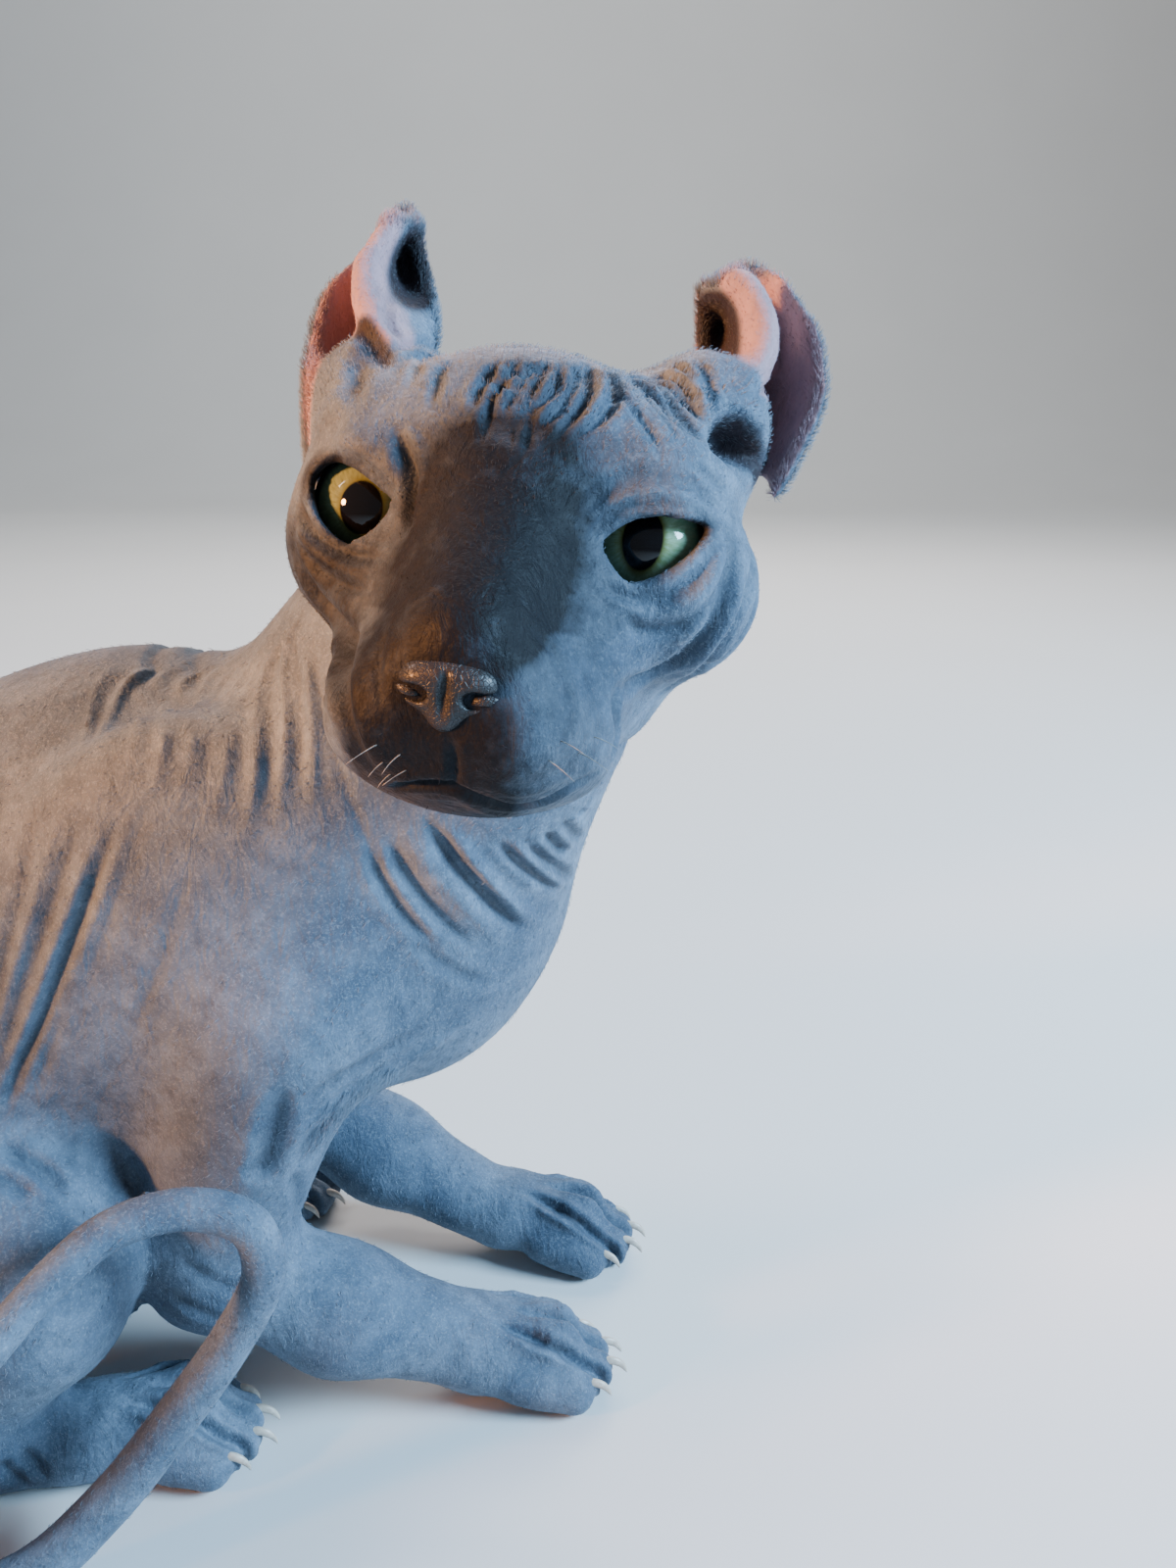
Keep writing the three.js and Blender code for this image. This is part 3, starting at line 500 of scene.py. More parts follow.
def corner_points(data):
    """Which point each corner of a mesh's faces is."""
    corners = np.zeros(len(data.loops), int)
    data.loops.foreach_get("vertex_index", corners)
    return corners


class Skin:
    """A mesh's points in the cat's frame, with the neighbours of each."""

    def __init__(self, piece):
        self.piece = piece
        data = piece.data
        self.points = raw_points(data) * 1000 - SHIFT
        ends = np.zeros(len(data.edges) * 2, int)
        data.edges.foreach_get("vertices", ends)
        self.edges = ends.reshape(-1, 2)
        self.degree = np.bincount(self.edges.ravel(), minlength=len(self.points))

    def write(self):
        put_points(self.piece.data, self.points)
        self.piece.data.update()

    def around(self, values):
        """The mean of each point's neighbours."""
        a, b = self.edges.T
        total = np.zeros_like(values)
        for n in range(values.shape[1]):
            total[:, n] = np.bincount(a, values[b, n], len(values))
            total[:, n] += np.bincount(b, values[a, n], len(values))
        return total / np.maximum(self.degree, 1)[:, None]

    def widened(self, chosen, rings):
        """The chosen points with their neighbours, so many rings wide."""
        for _ in range(rings):
            chosen = chosen | (self.around(chosen[:, None].astype(float))[:, 0] > 0)
        return chosen

    def soften(self, amount, rounds):
        for _ in range(rounds):
            self.points += (self.around(self.points) - self.points) * amount

    def normals(self, rounds=0):
        self.write()
        data = self.piece.data
        out = np.zeros(len(data.vertices) * 3)
        data.vertex_normals.foreach_get("vector", out)
        out = out.reshape(-1, 3)
        for _ in range(rounds):
            out = self.around(out)
        return unit(out)


def settle(skin, form, weight, reach, rounds=3):
    """Moves points straight out or in until they lie on the form."""
    chosen = np.nonzero(weight > 0.01)[0]
    start = skin.points[chosen]
    slope = skin.normals(3)[chosen]
    moved = np.zeros(len(start))
    for _ in range(rounds):
        here = form(start + slope * moved[:, None])
        moved = np.clip(moved - here * 0.9, -reach, reach)
    skin.points[chosen] = start + slope * (moved * weight[chosen])[:, None]


# Objects


def deselect():
    bpy.ops.object.select_all(action="DESELECT")


def active(piece):
    deselect()
    piece.select_set(True)
    bpy.context.view_layer.objects.active = piece


def edit_all(piece):
    active(piece)
    bpy.ops.object.mode_set(mode="EDIT")
    bpy.ops.mesh.select_all(action="SELECT")


def apply_modifier(piece, kind, **settings):
    active(piece)
    modifier = piece.modifiers.new(kind.lower(), kind)
    for key, value in settings.items():
        setattr(modifier, key, value)
    bpy.ops.object.modifier_apply(modifier=modifier.name)


def placed(name, data):
    """A new object in the scene."""
    piece = bpy.data.objects.new(name, data)
    bpy.context.scene.collection.objects.link(piece)
    return piece


def shade_smooth(data):
    data.polygons.foreach_set("use_smooth", [True] * len(data.polygons))


def mesh_piece(name, points, faces):
    """A piece from points in the cat's frame."""
    data = bpy.data.meshes.new(name)
    data.from_pydata([tuple(p) for p in (np.asarray(points) + SHIFT) / 1000], [], faces)
    data.update()
    shade_smooth(data)
    return placed(name, data)


MERGE_GAP = 0.02


def copy_of(nodes, name):
    """The CAD nodes' own meshes, copied, joined and merged."""
    deselect()
    for node in nodes:
        twin = placed(name, frame["nodes"][node].data.copy())
        twin.data.materials.clear()
        twin.select_set(True)
        bpy.context.view_layer.objects.active = twin
    if len(nodes) > 1:
        bpy.ops.object.join()
    piece = bpy.context.view_layer.objects.active
    edit_all(piece)
    bpy.ops.mesh.remove_doubles(threshold=MERGE_GAP / 1000)
    bpy.ops.mesh.normals_make_consistent(inside=False)
    bpy.ops.object.mode_set(mode="OBJECT")
    return piece


def remeshed(piece):
    """The mesh made again of small even faces, without what lies loose inside it: only the part
    that holds its foremost point is kept."""
    apply_modifier(piece, "REMESH", mode="VOXEL", voxel_size=GRAIN / 1000)
    active(piece)
    data = piece.data
    foremost = int(raw_points(data)[:, 0].argmax())
    bpy.ops.object.mode_set(mode="EDIT")
    bpy.ops.mesh.select_mode(type="VERT")
    bpy.ops.mesh.select_all(action="DESELECT")
    bpy.ops.object.mode_set(mode="OBJECT")
    data.vertices[foremost].select = True
    bpy.ops.object.mode_set(mode="EDIT")
    bpy.ops.mesh.select_linked()
    bpy.ops.mesh.select_all(action="INVERT")
    bpy.ops.mesh.delete(type="VERT")
    bpy.ops.object.mode_set(mode="OBJECT")
    return Skin(piece)


def tube(points, radii, sides=8, flatten=1.0, up=(0, 0, 1)):
    """Points and faces of a closed round rod along a line, tapering as its radii say."""
    line = np.asarray(points, float)
    ways = np.gradient(line, axis=0)
    out = []
    faces = []
    for spot, way, radius in zip(line, ways, radii):
        way = way / np.linalg.norm(way)
        side = np.cross(up, way)
        side /= np.linalg.norm(side)
        rise = np.cross(way, side)
        for n in range(sides):
            angle = 2 * math.pi * n / sides
            out.append(spot + side * radius * math.cos(angle) * flatten
                       + rise * radius * math.sin(angle))
    count = len(line)
    for ring in range(count - 1):
        for n in range(sides):
            m = (n + 1) % sides
            a = ring * sides
            faces.append((a + n, a + m, a + sides + m, a + sides + n))
    faces.append(tuple(reversed(range(sides))))
    faces.append(tuple(range((count - 1) * sides, count * sides)))
    return out, faces


# Ears: sheets through places given by pixel and distance from the camera, from the outer rim
# round the cup to the inner rim, and from the root to the tip

EAR_ROWS = {
    1: [
        [(787, 516, 206), (785, 506, 212), (775, 490, 218), (742, 466, 219), (728, 456, 212),
         (731, 460, 209), (735, 465, 207), (739, 470, 205), (745, 476, 203), (752, 484, 204)],
        [(820, 456, 204), (812, 452, 211), (786, 448, 222), (732, 438, 226), (706, 426, 212),
         (711, 428, 208), (716, 431, 206), (722, 434, 204), (729, 437, 202), (735, 440, 204)],
        [(842, 408, 204), (828, 406, 211), (800, 405, 221), (748, 398, 226), (712, 390, 214),
         (718, 393, 212), (728, 397, 210), (742, 404, 205), (756, 409, 201), (770, 407, 203)],
        [(843, 370, 206), (828, 367, 212), (800, 366, 221), (742, 360, 228), (712, 356, 216),
         (722, 359, 221), (738, 363, 221), (750, 369, 209), (768, 374, 200), (791, 377, 204)],
        [(835, 333, 208), (820, 331, 213), (798, 330, 221), (748, 333, 229), (714, 334, 217),
         (724, 335, 223), (742, 334, 224), (755, 334, 210), (776, 336, 201), (797, 339, 205)],
        [(817, 305, 211), (804, 302, 215), (786, 303, 220), (748, 310, 227), (716, 309, 217),
         (725, 315, 222), (738, 316, 221), (748, 309, 210), (768, 305, 204), (787, 308, 207)],
        [(799, 281, 214), (788, 280, 217), (768, 284, 220), (740, 292, 219), (716, 292, 214),
         (721, 299, 212), (730, 300, 210), (741, 295, 207), (756, 288, 206), (772, 283, 209)],
        [(770, 266, 216), (757, 266, 217), (742, 270, 217), (728, 279, 215), (720, 285, 212),
         (723, 288, 210), (728, 288, 209), (736, 284, 209), (746, 277, 210), (758, 271, 212)],
    ],
    -1: [
        [(322, 470, 204), (335, 468, 211), (362, 450, 218), (405, 420, 219), (427, 400, 213),
         (422, 402, 211), (418, 404, 209), (413, 406, 206), (407, 409, 203), (398, 414, 205)],
        [(315, 425, 203), (330, 425, 211), (362, 415, 220), (412, 390, 221), (434, 370, 214),
         (428, 373, 211), (422, 376, 208), (415, 379, 205), (405, 384, 202), (395, 390, 204)],
        [(311, 380, 204), (328, 378, 212), (365, 375, 221), (422, 360, 222), (443, 340, 215),
         (434, 344, 212), (425, 347, 209), (413, 351, 205), (398, 356, 201), (386, 361, 203)],
        [(316, 338, 206), (334, 335, 213), (372, 335, 222), (427, 322, 226), (442, 309, 216),
         (432, 312, 217), (420, 316, 216), (405, 322, 207), (388, 328, 201), (371, 333, 204)],
        [(326, 302, 209), (343, 298, 215), (375, 298, 223), (422, 294, 230), (438, 288, 218),
         (426, 291, 225), (406, 295, 226), (395, 299, 211), (378, 303, 202), (362, 307, 206)],
        [(347, 272, 214), (360, 268, 218), (380, 266, 224), (412, 268, 231), (432, 266, 220),
         (421, 269, 227), (402, 273, 227), (392, 276, 213), (377, 280, 204), (363, 282, 208)],
        [(368, 256, 219), (376, 251, 221), (388, 246, 225), (410, 246, 230), (429, 244, 221),
         (419, 247, 226), (404, 251, 225), (396, 254, 214), (383, 256, 206), (369, 257, 210)],
        [(384, 236, 222), (392, 230, 224), (402, 225, 226), (416, 222, 228), (428, 226, 222),
         (421, 230, 223), (412, 235, 220), (403, 238, 214), (391, 239, 210), (379, 239, 213)],
        [(400, 213, 223), (405, 209, 224), (411, 206, 225), (419, 208, 226), (426, 214, 223),
         (421, 218, 221), (416, 220, 219), (409, 221, 217), (402, 220, 216), (396, 218, 218)],
    ],
}


def ear_sheet(side, across=6, along=5):
    rows = [curve_through([on_ray(*place) for place in row], across) for row in EAR_ROWS[side]]
    columns = [curve_through([row[n] for row in rows], along) for n in range(len(rows[0]))]
    grid = np.array(columns)
    wide, tall = grid.shape[:2]
    faces = []
    for i in range(wide - 1):
        for j in range(tall - 1):
            a = i * tall + j
            faces.append((a, a + 1, a + tall + 1, a + tall))
    return grid.reshape(-1, 3), faces, (wide, tall)


# The skin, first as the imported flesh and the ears' sheets in one

EAR_NEAR = 14
EAR_SPAN = 50
FAR_OFF = 40.0

FLESH = ["head", "neck", "torso_front", "torso_rear"]
FLESH += ["tail_" + part for part in ("base", "middle", "lower", "rise", "bend", "tip")]
for name in SIDES:
    FLESH += [part + "_" + name for part in (
        "fore_paw", "hind_paw", "upper_arm", "forearm", "thigh", "shank")]

skin_piece = copy_of(FLESH, "cat_skin")
apply_modifier(skin_piece, "DISPLACE", strength=0.0005, mid_level=0)
ear_trees = {}
ear_grids = {}
shells = [skin_piece]
for side in SIDES.values():
    sheet_points, sheet_faces, ear_grids[side] = ear_sheet(side)
    ear_trees[side] = BVHTree.FromPolygons([Vector(p) for p in sheet_points], sheet_faces)
    shell = mesh_piece("ear_shell", sheet_points, sheet_faces)
    apply_modifier(shell, "SOLIDIFY", thickness=EAR_THICKNESS / 1000, offset=0,
                   use_even_offset=False)
    shells.append(shell)
deselect()
for shell in shells:
    shell.select_set(True)
bpy.context.view_layer.objects.active = skin_piece
bpy.ops.object.join()
skin_piece.name = "skin"
skin = remeshed(skin_piece)


def ear_share(points):
    """Where on the nearer ear's sheet each point lies: from its outer to its inner rim, from its
    root to its tip, how near it is, and whether it is on the cup's inner side."""
    across = np.zeros(len(points))
    along = np.zeros(len(points))
    away = np.full(len(points), FAR_OFF)
    inner = np.zeros(len(points))
    for side in SIDES.values():
        wide, tall = ear_grids[side]
        middle = on_ray(*EAR_ROWS[side][3][2])
        near = np.linalg.norm(points - middle, axis=1) < EAR_SPAN
        for n in np.nonzero(near)[0]:
            place = Vector(points[n])
            spot, normal, face, off = ear_trees[side].find_nearest(place, EAR_NEAR)
            if spot is not None and off < away[n]:
                away[n] = off
                across[n] = (face // (tall - 1)) / (wide - 1)
                along[n] = (face % (tall - 1)) / (tall - 1)
                inner[n] = 1 if (place - spot).dot(normal) * side > 0 else 0
    return across, along, away, inner


# All but the ears is drawn onto the smooth forms, and what strays from them is evened out

EAR_SKIN = (1.5, 4.5)
_, _, ear_away, _ = ear_share(skin.points)
skin.soften(0.5, 4)
settle(skin, flesh, smooth(*EAR_SKIN, ear_away), 3.0)
stray = skin.widened((np.abs(flesh(skin.points)) > 0.8) & (ear_away > 7), 3)
for _ in range(10):
    skin.points[stray] = skin.around(skin.points)[stray]
    settle(skin, flesh, stray.astype(float), 2.0, 2)
skin.write()

# Made of even faces once more, with the ears' roots smoothed into the head

skin = remeshed(skin_piece)
skin.soften(0.5, 2)
_, _, ear_away, _ = ear_share(skin.points)
settle(skin, flesh, smooth(*EAR_SKIN, ear_away), 1.5, 2)
near_root = smooth(9, 4, ear_away) * smooth(-3, -0.5, flesh(skin.points))
for _ in range(12):
    mean = skin.around(skin.points)
    skin.points += (mean - skin.points) * (near_root * 0.5)[:, None]
skin.soften(0.5, 3)
settle(skin, flesh, smooth(5, 9, ear_away), 1.5, 2)
skin.write()

# Folds of the skin where the photograph shows them: half width and height in millimetres, less
# than nothing for a groove, and the pixels along each

FOREHEAD_FOLDS = [
    (0.88, -1.57, [(509, 368), (498, 384), (488, 402), (484, 424)]),
    (0.95, -2.01, [(532, 366), (517, 384), (503, 403), (498, 428), (493, 455)]),
    (0.95, -2.3, [(547, 366), (532, 388), (518, 410), (511, 432), (507, 458)]),
    (0.95, -2.44, [(561, 367), (547, 391), (533, 413), (525, 433), (520, 462)]),
    (0.95, -2.44, [(573, 370), (565, 397), (547, 414), (540, 436), (535, 464)]),
    (0.95, -2.3, [(588, 370), (587, 388), (573, 413), (555, 432), (549, 456)]),
    (0.95, -2.15, [(598, 371), (601, 397), (589, 418), (576, 432), (564, 450)]),
    (0.95, -2.01, [(613, 373), (628, 391), (624, 413), (607, 431), (590, 446)]),
    (0.77, -1.29, [(512, 372), (530, 378), (552, 374), (570, 377)]),
    (0.77, -1.07, [(500, 383), (515, 392), (530, 390)]),
    (0.7, -1.19, [(620, 368), (650, 391), (683, 424), (705, 452)]),
    (0.7, -1.19, [(632, 366), (662, 390), (695, 424), (716, 455)]),
    (0.7, -1.29, [(645, 365), (674, 389), (700, 416), (718, 440)]),
    (0.7, -1.29, [(658, 362), (684, 384), (705, 405), (716, 424)]),
    (0.7, -1.19, [(674, 358), (692, 374), (708, 390), (714, 404)]),
    (0.7, -0.98, [(640, 385), (662, 408), (683, 434), (694, 458)]),
    (0.7, -0.86, [(628, 396), (648, 420), (666, 446), (676, 470)]),
    (0.82, -1.07, [(470, 352), (455, 372), (446, 395), (440, 420)]),
    (0.82, -0.98, [(455, 345), (436, 362), (424, 382), (414, 402)]),
]
BROW_FOLDS = [
    (3.2, 1.8, [(341, 452), (368, 452), (394, 468), (409, 497)]),
    (1.1, -1.6, [(405, 440), (416, 465), (421, 490), (418, 520), (414, 548)]),
    (0.7, -0.81, [(325, 474), (350, 466), (378, 478), (398, 500), (413, 528)]),
    (2.6, 1.1, [(612, 521), (648, 507), (690, 510), (724, 529)]),
    (0.9, -1, [(600, 556), (612, 536), (636, 519), (674, 513), (708, 518), (730, 536)]),
    (1.4, -0.68, [(590, 540), (602, 515), (632, 494), (672, 490), (712, 502), (742, 530)]),
]
UNDER_EYE_FOLDS = [
    (0.84, -0.98, [(610, 592), (634, 608), (672, 611), (706, 592), (728, 558)]),
    (1.7, 0.7, [(616, 606), (642, 625), (684, 622), (718, 600), (738, 562)]),
    (0.95, -0.98, [(628, 622), (656, 643), (694, 636), (726, 610), (742, 572)]),
    (1.4, -1.5, [(628, 702), (655, 692), (684, 677), (718, 648), (741, 602), (747, 560),
                 (738, 524)]),
    (2.3, 0.8, [(640, 680), (672, 662), (704, 636), (726, 600)]),
    (1.2, -0.9, [(664, 716), (694, 700), (728, 668), (756, 620), (768, 568), (758, 520)]),
    (1.4, 0.7, [(650, 706), (690, 688), (722, 658), (747, 615), (757, 566)]),
    (1.2, -1.1, [(700, 716), (736, 686), (766, 630), (777, 570)]),
    (0.84, -1.1, [(304, 506), (315, 537), (339, 557), (366, 567), (394, 569)]),
    (1.5, 0.7, [(303, 530), (320, 562), (348, 580), (380, 586)]),
    (0.84, -0.84, [(303, 548), (324, 578), (352, 597), (384, 602)]),
    (1.6, -1.8, [(300, 560), (314, 592), (334, 620), (358, 650), (366, 690)]),
    (0.73, -0.7, [(700, 470), (728, 490), (752, 516)]),
    (0.73, -0.7, [(716, 452), (744, 476), (764, 504)]),
]
MUZZLE_FOLDS = [
    (1.2, -0.9, [(634, 700), (627, 724), (630, 748), (622, 776)]),
    (1.6, -1.4, [(352, 655), (350, 700), (357, 748), (388, 792)]),
    (1.8, 1.0, [(338, 640), (342, 700), (350, 745), (380, 790)]),
    (0.7, -0.45, [(540, 640), (566, 668), (578, 700), (570, 730)]),
    (0.7, -0.45, [(396, 640), (388, 668), (386, 700), (392, 728)]),
    (0.75, -1.0, [(461, 752), (463, 776), (464, 802)]),
    (0.9, -1.5, [(396, 806), (414, 801), (440, 799), (464, 803), (492, 814), (522, 822), (552, 817),
                 (582, 803), (612, 785)]),
    (1.2, 0.5, [(404, 794), (434, 787), (464, 790)]),
    (1.2, 0.5, [(464, 790), (500, 803), (530, 810), (566, 798), (598, 780)]),
    (1.1, 0.5, [(420, 812), (464, 814), (510, 830), (552, 826)]),
]
EAR_FOLDS = [
    (2.3, 1.2, [(380, 232), (371, 260), (367, 290), (369, 318), (383, 342), (402, 356)]),
    (2.3, 1.2, [(722, 286), (745, 280), (768, 298), (782, 330), (780, 362), (762, 392),
                (738, 410)]),
    (1.4, -1.3, [(640, 377), (668, 405), (700, 436), (726, 452)]),
    (1.3, 1.2, [(700, 372), (710, 395), (714, 420), (716, 446)]),
    (0.9, -0.9, [(710, 366), (721, 390), (724, 420), (728, 440)]),
    (0.8, -0.8, [(798, 337), (794, 372), (775, 402), (756, 418)]),
    (1.6, 1.0, [(712, 404), (722, 428), (730, 452)]),
    (1.2, -0.9, [(760, 462), (772, 486), (782, 508)]),
    (1.2, 0.8, [(748, 470), (758, 492), (770, 512)]),
    (0.9, -0.9, [(400, 360), (420, 352), (440, 352), (452, 362)]),
    (0.8, -0.7, [(404, 384), (416, 366), (434, 362), (446, 372)]),
    (1.0, -0.8, [(400, 300), (396, 320), (402, 340), (414, 352)]),
]
NECK_FOLDS = [
    (0.99, 1.08, [(127, 656), (108, 688), (92, 730), (84, 780)]),
    (0.93, -0.33, [(146, 652), (120, 694), (98, 740), (90, 790)]),
    (0.99, 1.22, [(163, 652), (132, 696), (108, 744), (96, 800)]),
    (0.86, -0.33, [(173, 650), (146, 696), (122, 746), (112, 800)]),
    (0.93, 1.01, [(184, 644), (160, 694), (138, 748), (128, 806)]),
    (0.99, -0.36, [(198, 640), (174, 694), (154, 750), (142, 812)]),
    (0.99, 1.22, [(213, 636), (188, 698), (168, 758), (154, 824)]),
    (0.99, 1.08, [(231, 634), (212, 696), (196, 758), (180, 830)]),
    (0.86, -0.33, [(239, 634), (226, 700), (212, 764), (198, 840)]),
    (0.99, 1.16, [(249, 630), (242, 700), (231, 770), (218, 852)]),
    (0.86, -0.33, [(259, 626), (255, 700), (246, 774), (236, 856)]),
    (0.99, 1.16, [(270, 622), (266, 700), (262, 778), (252, 860)]),
    (0.86, -0.33, [(281, 612), (279, 690), (276, 778), (270, 860)]),
    (0.99, 1.16, [(291, 596), (293, 664), (292, 748), (286, 846)]),
    (0.99, 1.08, [(311, 600), (315, 664), (320, 740), (320, 830)]),
    (0.99, 1.37, [(331, 650), (338, 706), (356, 766), (388, 848), (424, 926)]),
    (0.93, -0.5, [(320, 640), (327, 706), (342, 772), (372, 852), (404, 920)]),
    (0.93, -0.46, [(345, 742), (368, 792), (400, 850), (440, 916)]),
    (0.86, -0.33, [(302, 612), (304, 684), (306, 760), (302, 850)]),
]
THROAT_FOLDS = [
    (1.53, -2.07, [(410, 800), (434, 836), (460, 872), (492, 910), (532, 950)]),
    (1.8, 1.35, [(392, 800), (412, 846), (440, 888), (474, 926), (514, 966)]),
    (1.8, 1.08, [(434, 812), (458, 848), (486, 884), (522, 922), (552, 946)]),
    (1.26, -1.35, [(476, 830), (506, 858), (538, 886), (568, 908)]),
    (1.26, -1.44, [(506, 830), (534, 858), (562, 882), (584, 896)]),
    (1.17, -1.44, [(534, 824), (556, 850), (576, 870), (592, 880)]),
    (1.17, -1.26, [(558, 814), (574, 838), (592, 858)]),
    (1.17, -1.08, [(580, 804), (594, 826), (606, 844)]),
    (1.35, 0.81, [(492, 830), (520, 858), (550, 886), (576, 904)]),
    (1.35, -1.17, [(396, 856), (420, 900), (450, 938), (486, 970)]),
    (1.26, -0.99, [(372, 866), (390, 902), (416, 940), (446, 966)]),
    (1.44, -0.72, [(420, 960), (460, 990), (500, 1004)]),
]
FLANK_FOLDS = [
    (1.29, -0.66, [(48, 800), (24, 900), (0, 1000), (-20, 1080)]),
    (1.29, -0.99, [(84, 830), (48, 940), (14, 1040), (-14, 1120)]),
    (1.29, -0.99, [(120, 836), (84, 930), (46, 1030), (12, 1110), (-8, 1170)]),
    (1.34, -0.3, [(160, 800), (132, 880), (104, 960), (80, 1030)]),
    (1.22, -0.59, [(76, 990), (46, 1080), (24, 1150)]),
    (1.29, -0.53, [(10, 800), (-14, 900), (-40, 1000)]),
    (1.29, -0.46, [(-20, 820), (-46, 920), (-72, 1010)]),
    (1.4, -0.46, [(-40, 960), (-60, 1060), (-80, 1140)]),
    (1.22, -0.33, [(196, 880), (164, 980), (130, 1070)]),
    (1.45, -0.33, [(130, 1070), (98, 1140), (84, 1200)]),
    (1.29, 0.73, [(66, 820), (34, 930), (0, 1040)]),
    (1.29, 0.73, [(102, 836), (64, 950), (28, 1050), (-4, 1130)]),
    (1.22, 0.52, [(138, 830), (104, 930), (70, 1020)]),
]
CHEST_FOLDS = [
    (2.4, -1.5, [(290, 1108), (280, 1150), (268, 1194), (250, 1240)]),
    (2.0, 1.2, [(296, 1178), (313, 1150), (350, 1122), (394, 1094), (440, 1066), (486, 1030)]),
    (1.8, -0.9, [(300, 1130), (340, 1104), (384, 1078), (430, 1050)]),
    (1.6, -0.8, [(296, 1196), (306, 1222), (300, 1254)]),
    (1.6, -0.8, [(316, 1188), (330, 1214), (332, 1250)]),
]
THIGH_FOLDS = [
    (1.6, -1.3, [(0, 1177), (24, 1184), (48, 1198), (66, 1222)]),
    (1.6, -1.0, [(-20, 1200), (10, 1206), (36, 1222)]),
    (1.5, -0.9, [(20, 1480), (40, 1500), (44, 1530)]),
    (1.5, -0.9, [(0, 1490), (22, 1512), (28, 1544)]),
    (1.5, -0.8, [(-20, 1500), (4, 1526), (10, 1560)]),
]
CANALS = [
    (3.2, -2.8, [(734, 428), (748, 444), (760, 458), (772, 474)]),
    (1.8, -1.5, [(366, 360), (367, 388), (366, 418)]),
    (1.6, -1.4, [(372, 336), (384, 358), (398, 378)]),
]
HEAD_FOLDS = FOREHEAD_FOLDS + BROW_FOLDS + UNDER_EYE_FOLDS + MUZZLE_FOLDS + EAR_FOLDS + CANALS
BODY_FOLDS = NECK_FOLDS + THROAT_FOLDS + FLANK_FOLDS + CHEST_FOLDS + THIGH_FOLDS
UNEVEN_FOLDS = NECK_FOLDS + FLANK_FOLDS
MIRRORED_FOLDS = NECK_FOLDS[:15] + FLANK_FOLDS + THIGH_FOLDS

# Folds out of the photograph's sight, by places on the right half of the body, drawn on both

UNSEEN_FOLDS = [
    (2.2, -0.91, [(-250, -20, 130), (-262, -8, 100), (-262, -4, 82)]),
    (2.2, -0.84, [(-236, -46, 118), (-250, -36, 88), (-252, -26, 62)]),
    (2.0, -0.7, [(-216, -66, 70), (-196, -70, 50), (-170, -70, 42)]),
    (2.0, -0.7, [(-160, -66, 110), (-146, -62, 86), (-128, -66, 70)]),
    (1.8, -0.7, [(-150, -64, 122), (-134, -60, 104), (-118, -58, 92)]),
    (1.7, -0.63, [(-92, -30, 184), (-96, -10, 190), (-98, 12, 190)]),
    (1.7, -0.63, [(-84, -32, 190), (-88, -10, 198), (-90, 10, 198)]),
    (1.6, -0.63, [(-62, -34, 205), (-62, -12, 214), (-64, 10, 212)]),
    (1.6, -0.56, [(-54, -34, 213), (-53, -12, 222), (-55, 10, 220)]),
    (1.5, -0.56, [(-90, -52, 60), (-82, -52, 54), (-74, -50, 48)]),
    (1.5, -0.56, [(-94, -52, 52), (-86, -52, 46), (-78, -50, 40)]),
]

# Folding the skin


def skin_tree(piece):
    return BVHTree.FromObject(piece, bpy.context.evaluated_depsgraph_get())


def metres(place):
    return Vector((np.asarray(place, float) + SHIFT) / 1000)


def millimetres(place):
    return np.array(place) * 1000 - SHIFT


# How many stretches lie between two places of a fold, and, in metres, how far off the outline a
# pixel may be and what counts as a jump in depth

LINE_STEPS = 5
OFF_OUTLINE = 0.009
DEPTH_JUMP = 0.035


def seen_line(tree, places):
    """The curve through pixels of the photograph, on the skin, with the skin's normals there:
    its longest stretch without a jump from one part of the body to another. Pixels just off the
    outline take the nearest place on it."""
    found = []
    for x, y in places:
        aim = Vector(on_ray(x, y, 1.0) - CAMERA_PLACE).normalized()
        spot, way, _, away = tree.ray_cast(metres(CAMERA_PLACE), aim)
        found.append((spot, way, away, aim))
    known = [away for _, _, away, _ in found if away is not None]
    if not known:
        return None
    runs = [[]]
    for spot, way, away, aim in found:
        if spot is None:
            away = runs[-1][-1][2] if runs[-1] else known[0]
            spot, way, _, off = tree.find_nearest(metres(CAMERA_PLACE) + aim * away)
            if off > OFF_OUTLINE:
                continue
        if runs[-1] and abs(away - runs[-1][-1][2]) > DEPTH_JUMP:
            runs.append([])
        runs[-1].append((millimetres(spot), np.array(way), away))
    run = max(runs, key=len)
    if len(run) < 2:
        return None
    spots, ways, _ = zip(*run)
    return curve_through(spots, LINE_STEPS), curve_through(ways, LINE_STEPS)


def placed_line(tree, places):
    """The curve through places near the skin, brought onto it."""
    spots = []
    ways = []
    for place in places:
        spot, way, _, _ = tree.find_nearest(metres(place))
        spots.append(millimetres(spot))
        ways.append(np.array(way))
    return curve_through(spots, LINE_STEPS), curve_through(ways, LINE_STEPS)


def lid_line(side, grow, radius):
    """The rim of an eye's opening, as a ring on a ball round the eye."""
    ring = np.array(EYE_OPENINGS[side], float)
    middle = ring.mean(0)
    ring = middle + (ring - middle) * grow
    ball = eye_center(side)
    spots = [on_ball(x, y, ball, radius) for x, y in list(ring) + [ring[0]]]
    ways = [(spot - ball) / np.linalg.norm(spot - ball) for spot in spots]
    return curve_through(spots, LINE_STEPS), curve_through(ways, LINE_STEPS)


